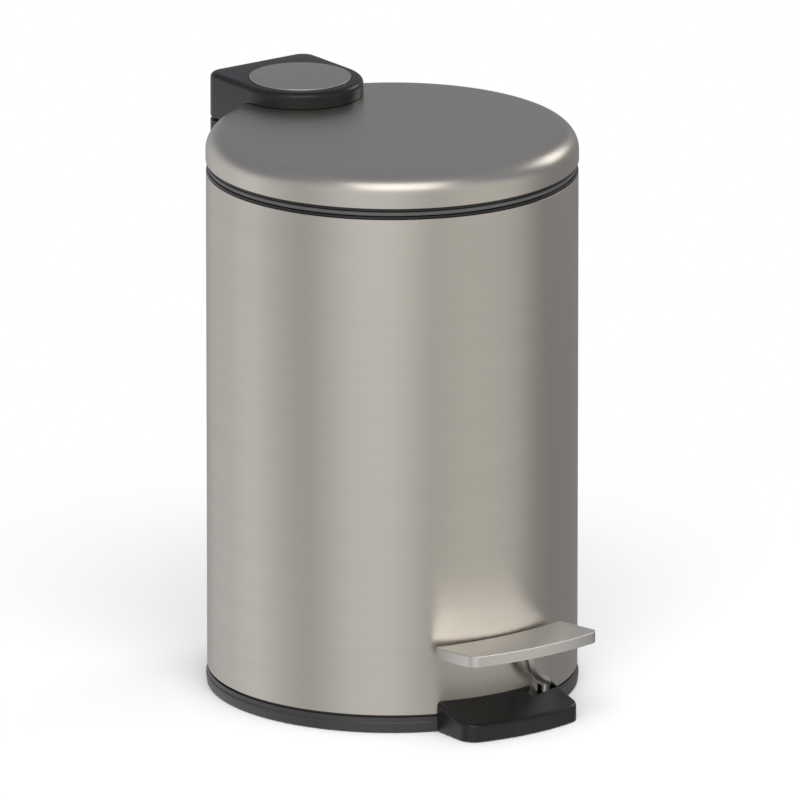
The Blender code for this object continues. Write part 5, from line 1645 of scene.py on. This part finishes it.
    def gate_tool(self) -> Piece:
        """The opening in the housing's top that the arm dips into.

        The lever's path is turned about the pivot by twice its tilt; what then
        lies below the housing's top sets the gate's left side and its front.
        """
        c = self.common
        turn = 2 * c.lever_tilt
        x, y, z = (self.lever_path(self.gate_steps) - c.pivot).T
        pressed = np.stack([x, y * math.cos(turn) - z * math.sin(turn),
                            y * math.sin(turn) + z * math.cos(turn)], 1) + c.pivot
        reach = c.lever_thickness / 2 + self.gate_play
        top = self.block_top(np.hypot(pressed[:, 0], pressed[:, 1]))
        low = pressed[pressed[:, 2] - reach < top]
        left = low[:, 0].min() - c.lever_width / 2
        front = low[:, 1].min()
        right = c.crossing[0] + c.lever_width / 2 + c.crossing_play
        right_front = self.circle_y(self.arm_foot_x, c.body_radius + self.arm_foot_out) - reach
        back = -c.body_radius / 2
        edge_x, edge_depth = self.gate_edge
        outline = [(left, front - reach), (right, right_front), (right, back), (edge_x, back),
                   (edge_x, self.circle_y(edge_x, c.block_inner + edge_depth)),
                   (left, front + reach)]
        return prism("gate", np.array(outline), self.block_front - self.block_wall,
                     self.block_rear + c.overrun)

    def boss_tools(self, x: float) -> list[Piece]:
        """A screw boss behind the housing's wall and the rib above it."""
        c = self.common
        way = c.boss_way(x)
        across = np.array([-way[1], way[0], 0.0])
        lift = np.array([0, 0, c.boss_height])
        boss = rod("boss", way * c.block_inner + lift,
                   way * (c.block_inner + self.block_boss_length) + lift, self.block_boss,
                   BOSS_STEPS)
        near = c.block_inner + self.block_wall / 2
        far = c.block_inner + self.block_boss_length - self.block_wall / 2
        half = self.block_wall / 2
        plan = np.array([way * near - across * half, way * far - across * half,
                         way * far + across * half, way * near + across * half])[:, :2]
        foot = c.boss_height + self.block_boss / 2
        rib = prism("rib", plan, foot, foot + self.block_rear - c.boss_height
                    - self.block_wall * 2)
        return [boss, rib]

    def build_block(self) -> Piece:
        """The pedal housing: a hollow sloped bar with bosses and the gate."""
        c = self.common
        block = self.block_body(0.0, "pedal_box")
        combine(block, [self.block_body(self.block_wall, "hollow")], Join.CUT)
        combine(block, [tool for x in c.boss_places for tool in self.boss_tools(x)], Join.ADD)
        pilots = [c.boss_hole(x, c.block_inner - c.overrun, c.block_inner + c.screw_bite + c.gap)
                  for x in c.boss_places]
        return combine(block, [self.gate_tool(), *pilots], Join.CUT, CUT_ANGLE)

    def build_pin(self) -> Piece:
        """The headed pin of the lever's pivot."""
        c = self.common
        length = c.pivot_length + 2 * (c.gap + self.ear)
        head = length + c.gap
        end = head + self.pin_head
        profile = softened([(0, 0), (c.pivot_pin, 0), (c.pivot_pin, head),
                            (self.pin_head_radius, head), (self.pin_head_radius, end), (0, end)],
                           self.pin_rounds, 4)
        px, py, pz = c.pivot
        return turned("pivot_pin", profile, PIN_STEPS, (px - length / 2, py, pz), (1, 0, 0))

    def build(self, palette: Palette) -> None:
        """Build and dress the pieces."""
        settle(self.build_lever(), "pedal", "satin_metal", palette.pedal_steel, "pedal_lever")
        settle(self.build_plate(), "pedal", "satin_metal", palette.pedal_steel, "pedal_plate")
        settle(self.build_block(), "bin", "black_plastic", palette.black, "pedal_housing")
        settle(self.build_pin(), "bin", "bright_wire", palette.wire_steel, "lever_pin")


@dataclass
class Linkage:
    """The lift rod; its upper guide keeps its solid."""

    common: Common
    pin_length: float = 0.0072
    bend_steps: int = 8
    section_side: Vec = (0.62, 0.54, 0.57)   # never along one of the rod's runs

    def build_rod(self) -> Piece:
        """The wire from the lever's eye up the back wall and out to the crank."""
        c = self.common
        bend = c.rod_wire / 2 + c.gap
        corners = np.array([(self.pin_length, c.rod_y, c.rod_foot), (0, c.rod_y, c.rod_foot),
                            (0, c.rod_y, c.rod_jog), (0, c.rod_rear_y, c.rod_jog),
                            (0, c.rod_rear_y, c.rod_top),
                            (self.pin_length, c.rod_rear_y, c.rod_top)])
        path = self.rounded_path(corners, bend, self.bend_steps)
        section = arc((0, 0), c.rod_wire / 2, 0, 360, WIRE_STEPS)[:-1]
        return swept("lifting_wire", path, section, self.section_side)

    def rounded_path(self, corners: Array, bend: float, steps: int) -> Array:
        """Round an open path's corners by quarter circles.

        At a corner C with unit vectors b back and a ahead, a point is
        C + bend (b (1 - sin t) + a (1 - cos t)), t from 0 to a right angle.

        Args:
            corners: Array (k, 3), ends included.
            bend: Radius of the bends.
            steps: Straight pieces in a bend.

        Returns:
            The rounded path.
        """
        inner = corners[1:-1, None]
        back = unit(corners[:-2] - corners[1:-1])[:, None]
        ahead = unit(corners[2:] - corners[1:-1])[:, None]
        t = np.linspace(0.0, QUARTER, steps + 1)[None, :, None]
        bends = inner + bend * (back * (1 - np.sin(t)) + ahead * (1 - np.cos(t)))
        return np.concatenate([corners[:1], bends.reshape(-1, 3), corners[-1:]])

    def build(self, palette: Palette) -> None:
        """Build and dress the rod and dress its guide."""
        settle(self.build_rod(), "rod", "bright_wire", palette.wire_steel, "lift_rod")
        dress_node("rod_bracket", palette.black)


@dataclass
class Fasteners:
    """The eight pan-head screws."""

    common: Common
    pedal: Pedal
    head_radius: float = 0.0026
    head: float = 0.0014
    pitch: float = 0.0006
    recess: float = 0.0008
    recess_width: float = 0.0006
    recess_share: float = 0.58    # of the head's radius
    thread_depth: float = 0.0001
    tip_share: float = 0.55       # of the shank's radius
    smooth: float = 30.0
    bracket_wall: float = 0.0016

    def build_screw(self, name: str, face: Array, way: Array, length: float) -> Piece:
        """A pan-head screw with a cross recess and thread ridges.

        The profile is a quarter ellipse for the head, then a shank whose radius
        falls and rises by a tenth of a millimetre once a pitch.

        Args:
            name: Name of the piece.
            face: Middle of the head's underside.
            way: Unit vector that the shank points along.
            length: Length under the head.

        Returns:
            The screw.
        """
        radius = self.common.screw_radius
        turn = np.linspace(0.0, QUARTER, DOME_STEPS)
        dome = np.stack([self.head_radius * np.sin(turn), -self.head * np.cos(turn)], 1)
        ridges = int(2 * (length - 2 * self.pitch) / self.pitch)
        height = np.linspace(self.pitch, length - self.pitch, ridges)
        depth = np.where(np.arange(ridges) % 2, self.thread_depth, 0.0)
        thread = np.stack([radius - depth, height], 1)
        profile = np.concatenate([dome, [(radius, 0.0)], thread,
                                  [(radius * self.tip_share, length), (0.0, length)]])
        screw = turned(name, profile, SMALL_STEPS, face, way, self.smooth)
        across, over, along = axis_frame(way)
        half = self.recess_width / 2
        arm = self.head_radius * self.recess_share
        cross = np.array([(half, half), (half, arm), (-half, arm), (-half, half), (-arm, half),
                          (-arm, -half), (-half, -half), (-half, -arm), (half, -arm),
                          (half, -half), (arm, -half), (arm, half)])
        flat = cross[:, :1] * across + cross[:, 1:] * over
        levels = np.array([-self.head * 1.5, -self.head + self.recess])
        rings = np.asarray(face) + flat[None] + levels[:, None, None] * along
        return combine(screw, [lofted("cross_recess", rings)], Join.CUT, self.smooth)

    def build(self, palette: Palette) -> None:
        """Build and dress the four pairs."""
        c = self.common
        up, back = np.array([0, 0, 1.0]), np.array([0, 1.0, 0])
        guide = c.body_radius - c.wall - c.gap - self.bracket_wall
        reach = math.sqrt(guide ** 2 - (c.house_screw_x + self.head_radius) ** 2) - c.gap
        start = c.spigot_inner - c.gap * 2
        under = self.pedal.plate_top - self.pedal.plate_wall - c.gap
        for side, word, boss in zip(SIDES, ("left", "right"), c.boss_places):
            on_lid = np.array([side * c.lid_screw_x, c.lid_screw_y,
                               c.liner_under - c.gap * 2 - c.pad_thickness])
            on_wall = np.array([side * c.house_screw_x, reach, c.house_screw_z])
            on_pad = self.pedal.screw_place(side) - up * c.gap
            out = c.boss_way(boss)
            for kind, body, node, face, way, length in (
                    ("lid", "lid", "lid", on_lid, up, c.lid_top + c.screw_bite - on_lid[2]),
                    ("box", "bin", "housing", on_wall, back, c.body_radius + c.screw_bite - reach),
                    ("pedal", "pedal", "pedal", on_pad, up, under - on_pad[2]),
                    ("base", "bin", "block", out * start + up * c.boss_height, out,
                     c.block_inner + c.screw_bite - start)):
                screw = self.build_screw(f"{kind}_fixing_{word}", face, way, length)
                settle(screw, body, "bright_wire", palette.wire_steel, f"{node}_screw_{word}")


# Studio

@dataclass(frozen=True)
class Panel:
    """A soft upright panel of the studio, seen from the bin."""

    bearing: float
    width: float
    level: float


@dataclass(frozen=True)
class Lamp:
    """A rectangular soft box that faces the bin.

    Bearing and height are in degrees from the camera's side and above level;
    distance, width and tall are in metres; radiance is 1 for white.
    """

    name: str
    bearing: float
    height: float
    distance: float
    width: float
    tall: float
    radiance: float


@dataclass
class Studio:
    """Floor, light and camera. Bearings are in degrees to the right of the camera."""

    azimuth: float = -36.0
    elevation: float = 16.354
    distance: float = 9.726
    lens: float = 956.71
    sensor: float = 36.0
    clip_end: float = 50.0
    aim_height: float = 0.1333
    side_step: float = 0.00354
    floor_radius: float = 3.0
    base_level: float = 0.29
    overhead_level: float = 0.27
    sky_level: float = 0.32
    front_lift: float = 0.42
    glow: float = 0.03
    front_range: Vec = (-0.2, 0.7)      # part towards the camera over which the lift grows
    wall_top: float = 0.4               # Z at which the panels have faded
    sky_range: Vec = (0.36, 0.56)       # Z over which overhead goes over to sky
    cool_range: Vec = (-0.04, 0.24)     # Z over which reflections turn cooler
    warm_bearing: float = 50.0
    warm_start: float = 0.3
    wall_colour: Colour = (1.0, 0.998, 1.0)
    warm_colour: Colour = (1.0, 0.99, 0.95)
    cool_colour: Colour = (0.94, 0.975, 1.06)
    floor_colour: Colour = (0.90, 0.92, 0.955)
    floor_rings: Vec = (0.0, 0.3, 0.6)
    floor_steps: int = 128
    floor_range: Vec = (0.15, 0.42)     # distance over which the floor turns white
    lamp_colour: Colour = (1.0, 0.965, 0.91)
    panels: tuple[Panel, ...] = (
        Panel(-10, 65, 0.13), Panel(-14, 45, 0.43), Panel(-106, 65, 0.46), Panel(-98, 18, 0.17),
        Panel(62, 45, 0.42), Panel(-162, 30, 0.10))
    lamps: tuple[Lamp, ...] = (Lamp("key_box", 4.0, 50.0, 2.2, 1.7, 1.2, 1.8),
                               Lamp("rear_box", 129.0, 27.0, 2.4, 1.0, 0.8, 2.1))
    tread_lamp: Lamp = Lamp("tread_box", 62.0, 37.0, 1.4, 2.3, 0.9, 1.4)

    def bearing_vector(self, bearing: float, height: float = 0.0) -> Array:
        """World vector at a bearing right of the camera and a height above level."""
        turn = math.radians(self.azimuth + bearing)
        rise = math.radians(height)
        return np.array([math.sin(turn) * math.cos(rise), -math.cos(turn) * math.cos(rise),
                         math.sin(rise)])

    def build_camera(self) -> None:
        """The camera: far away with a long lens, as the photograph is."""
        back = self.bearing_vector(0.0, self.elevation)
        right = self.bearing_vector(90.0)
        aim = np.array([0, 0, self.aim_height]) + right * self.side_step
        data = bpy.data.cameras.new("camera")
        data.lens = self.lens
        data.sensor_width = self.sensor
        data.sensor_fit = "HORIZONTAL"
        data.clip_end = self.clip_end
        item = bpy.data.objects.new("camera", data)
        item.location = aim + back * self.distance
        item.rotation_euler = (math.radians(90.0 - self.elevation), 0.0,
                               math.radians(self.azimuth))
        bpy.context.scene.collection.objects.link(item)
        bpy.context.scene.camera = item

    def build_world(self) -> None:
        """A pale studio: white for the camera, soft upright panels around the bin."""
        world = bpy.data.worlds.new("studio")
        bpy.context.scene.world = world
        world.use_nodes = True
        world.node_tree.nodes.clear()
        graph = Graph(world.node_tree)
        way = graph.add("TexCoord").outputs["Generated"]
        parts = graph.add("SeparateXYZ")
        graph.link(way, parts.inputs[0])
        level = graph.add("CombineXYZ")
        graph.link(parts.outputs["X"], level.inputs["X"])
        graph.link(parts.outputs["Y"], level.inputs["Y"])
        flat = graph.add("VectorMath", operation="NORMALIZE")
        graph.link(level.outputs[0], flat.inputs[0])
        towards = [graph.along(flat.outputs[0], self.bearing_vector(panel.bearing))
                   for panel in self.panels]
        total: Any = self.base_level
        for panel, part in zip(self.panels, towards):
            edge = math.cos(math.radians(panel.width))
            total = graph.math("ADD", total, graph.ramp(part, edge, 1.0, 0.0, panel.level))
        ahead = graph.along(flat.outputs[0], self.bearing_vector(0.0))
        front = graph.ramp(ahead, *self.front_range, 0.0, self.front_lift)
        height = graph.math("SUBTRACT", parts.outputs["Z"], front)
        low = graph.ramp(height, 0.0, self.wall_top, 1.0, 0.0)
        above = graph.math("MULTIPLY", graph.math("SUBTRACT", total, self.overhead_level), low)
        sky = graph.ramp(parts.outputs["Z"], *self.sky_range, self.overhead_level, self.sky_level)
        walls = graph.add("Background")
        graph.link(graph.math("ADD", above, sky), walls.inputs["Strength"])
        warm = graph.along(flat.outputs[0], self.bearing_vector(self.warm_bearing))
        side = graph.mix(graph.ramp(warm, self.warm_start, 1.0), self.wall_colour,
                         self.warm_colour)
        rays = graph.add("LightPath")
        cool = graph.math("MULTIPLY", graph.ramp(height, *self.cool_range),
                          rays.outputs["Is Glossy Ray"])
        graph.link(graph.mix(cool, side, self.cool_colour), walls.inputs["Color"])
        white = graph.add("Background", Strength=1.0)
        seen = graph.math("MAXIMUM", rays.outputs["Is Camera Ray"],
                          rays.outputs["Is Transmission Ray"])
        out = graph.add("OutputWorld")
        graph.link(graph.blend(seen, walls.outputs[0], white.outputs[0]), out.inputs["Surface"])

    def build_floor(self) -> None:
        """A pale round floor that goes over to plain white away from the bin."""
        angle = np.linspace(0.0, math.tau, self.floor_steps, endpoint=False)
        rings = np.array([*self.floor_rings, self.floor_radius])[:, None]
        points = np.stack([rings * np.cos(angle), rings * np.sin(angle),
                           np.zeros_like(rings * angle)], -1)
        quads = grid_quads(len(rings), len(angle), False)
        floor = mesh_object("floor", points.reshape(-1, 3), quads)
        if floor.data.polygons[0].normal.z < 0:
            floor.data.flip_normals()
        material, graph, shader = new_material("pale_floor")
        place = graph.add("TexCoord").outputs["Object"]
        away = graph.add("VectorMath", operation="LENGTH")
        graph.link(place, away.inputs[0])
        share = graph.ramp(away.outputs["Value"], *self.floor_range)
        shader.inputs["Base Color"].default_value = (*self.floor_colour, 1.0)
        shader.inputs["Roughness"].default_value = 0.9
        shader.inputs["Specular IOR Level"].default_value = 0.0
        white = graph.add("Emission", Strength=1.0)
        paler = graph.add("BsdfDiffuse")
        lift = graph.add("Emission")
        seen = graph.add("LightPath").outputs["Is Camera Ray"]
        graph.link(graph.mix(seen, (0, 0, 0), self.floor_colour), paler.inputs["Color"])
        graph.link(graph.math("MULTIPLY", seen, self.glow), lift.inputs["Strength"])
        near = graph.sum(graph.sum(shader.outputs[0], paler.outputs[0]), lift.outputs[0])
        graph.link(graph.blend(share, near, white.outputs[0]),
                   material.node_tree.nodes["Material Output"].inputs["Surface"])
        floor.data.materials.append(material)
        floor.visible_glossy = False

    def add_lamp(self, lamp: Lamp) -> Piece:
        """Place a lamp so that it faces the bin."""
        data = bpy.data.lights.new(lamp.name, "AREA")
        data.shape = "RECTANGLE"
        data.size, data.size_y = lamp.width, lamp.tall
        data.color = self.lamp_colour
        data.energy = lamp.radiance * math.pi * lamp.width * lamp.tall
        item = bpy.data.objects.new(lamp.name, data)
        way = self.bearing_vector(lamp.bearing, lamp.height)
        item.location = way * lamp.distance + np.array([0, 0, self.aim_height])
        item.rotation_euler = (math.radians(90.0 - lamp.height), 0.0,
                               math.radians(self.azimuth + lamp.bearing))
        item.visible_camera = False
        bpy.context.scene.collection.objects.link(item)
        return item

    def build(self, tread: Piece) -> None:
        """Set up the whole studio, with a lamp that lights the tread alone."""
        self.build_camera()
        self.build_world()
        self.build_floor()
        for lamp in self.lamps:
            self.add_lamp(lamp)
        lit = bpy.data.collections.new("lit_by_tread_box")
        lit.objects.link(tread)
        self.add_lamp(self.tread_lamp).light_linking.receiver_collection = lit
        bpy.context.scene.view_settings.view_transform = "Standard"


def main() -> None:
    """Build every sub-assembly in order."""
    logging.basicConfig(level=logging.INFO, format="%(name)s: %(message)s")
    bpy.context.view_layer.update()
    common = Common()
    palette = Palette.build(Effects.build())
    lid = Lid(common)
    pedal = Pedal(common)
    for part in (Body(common), Base(common), Bucket(common), lid, HingeBox(common, lid), pedal,
                 Linkage(common), Fasteners(common, pedal)):
        part.build(palette)
    Studio().build(bpy.data.objects["pedal_tread"])


if __name__ == "__main__":
    main()
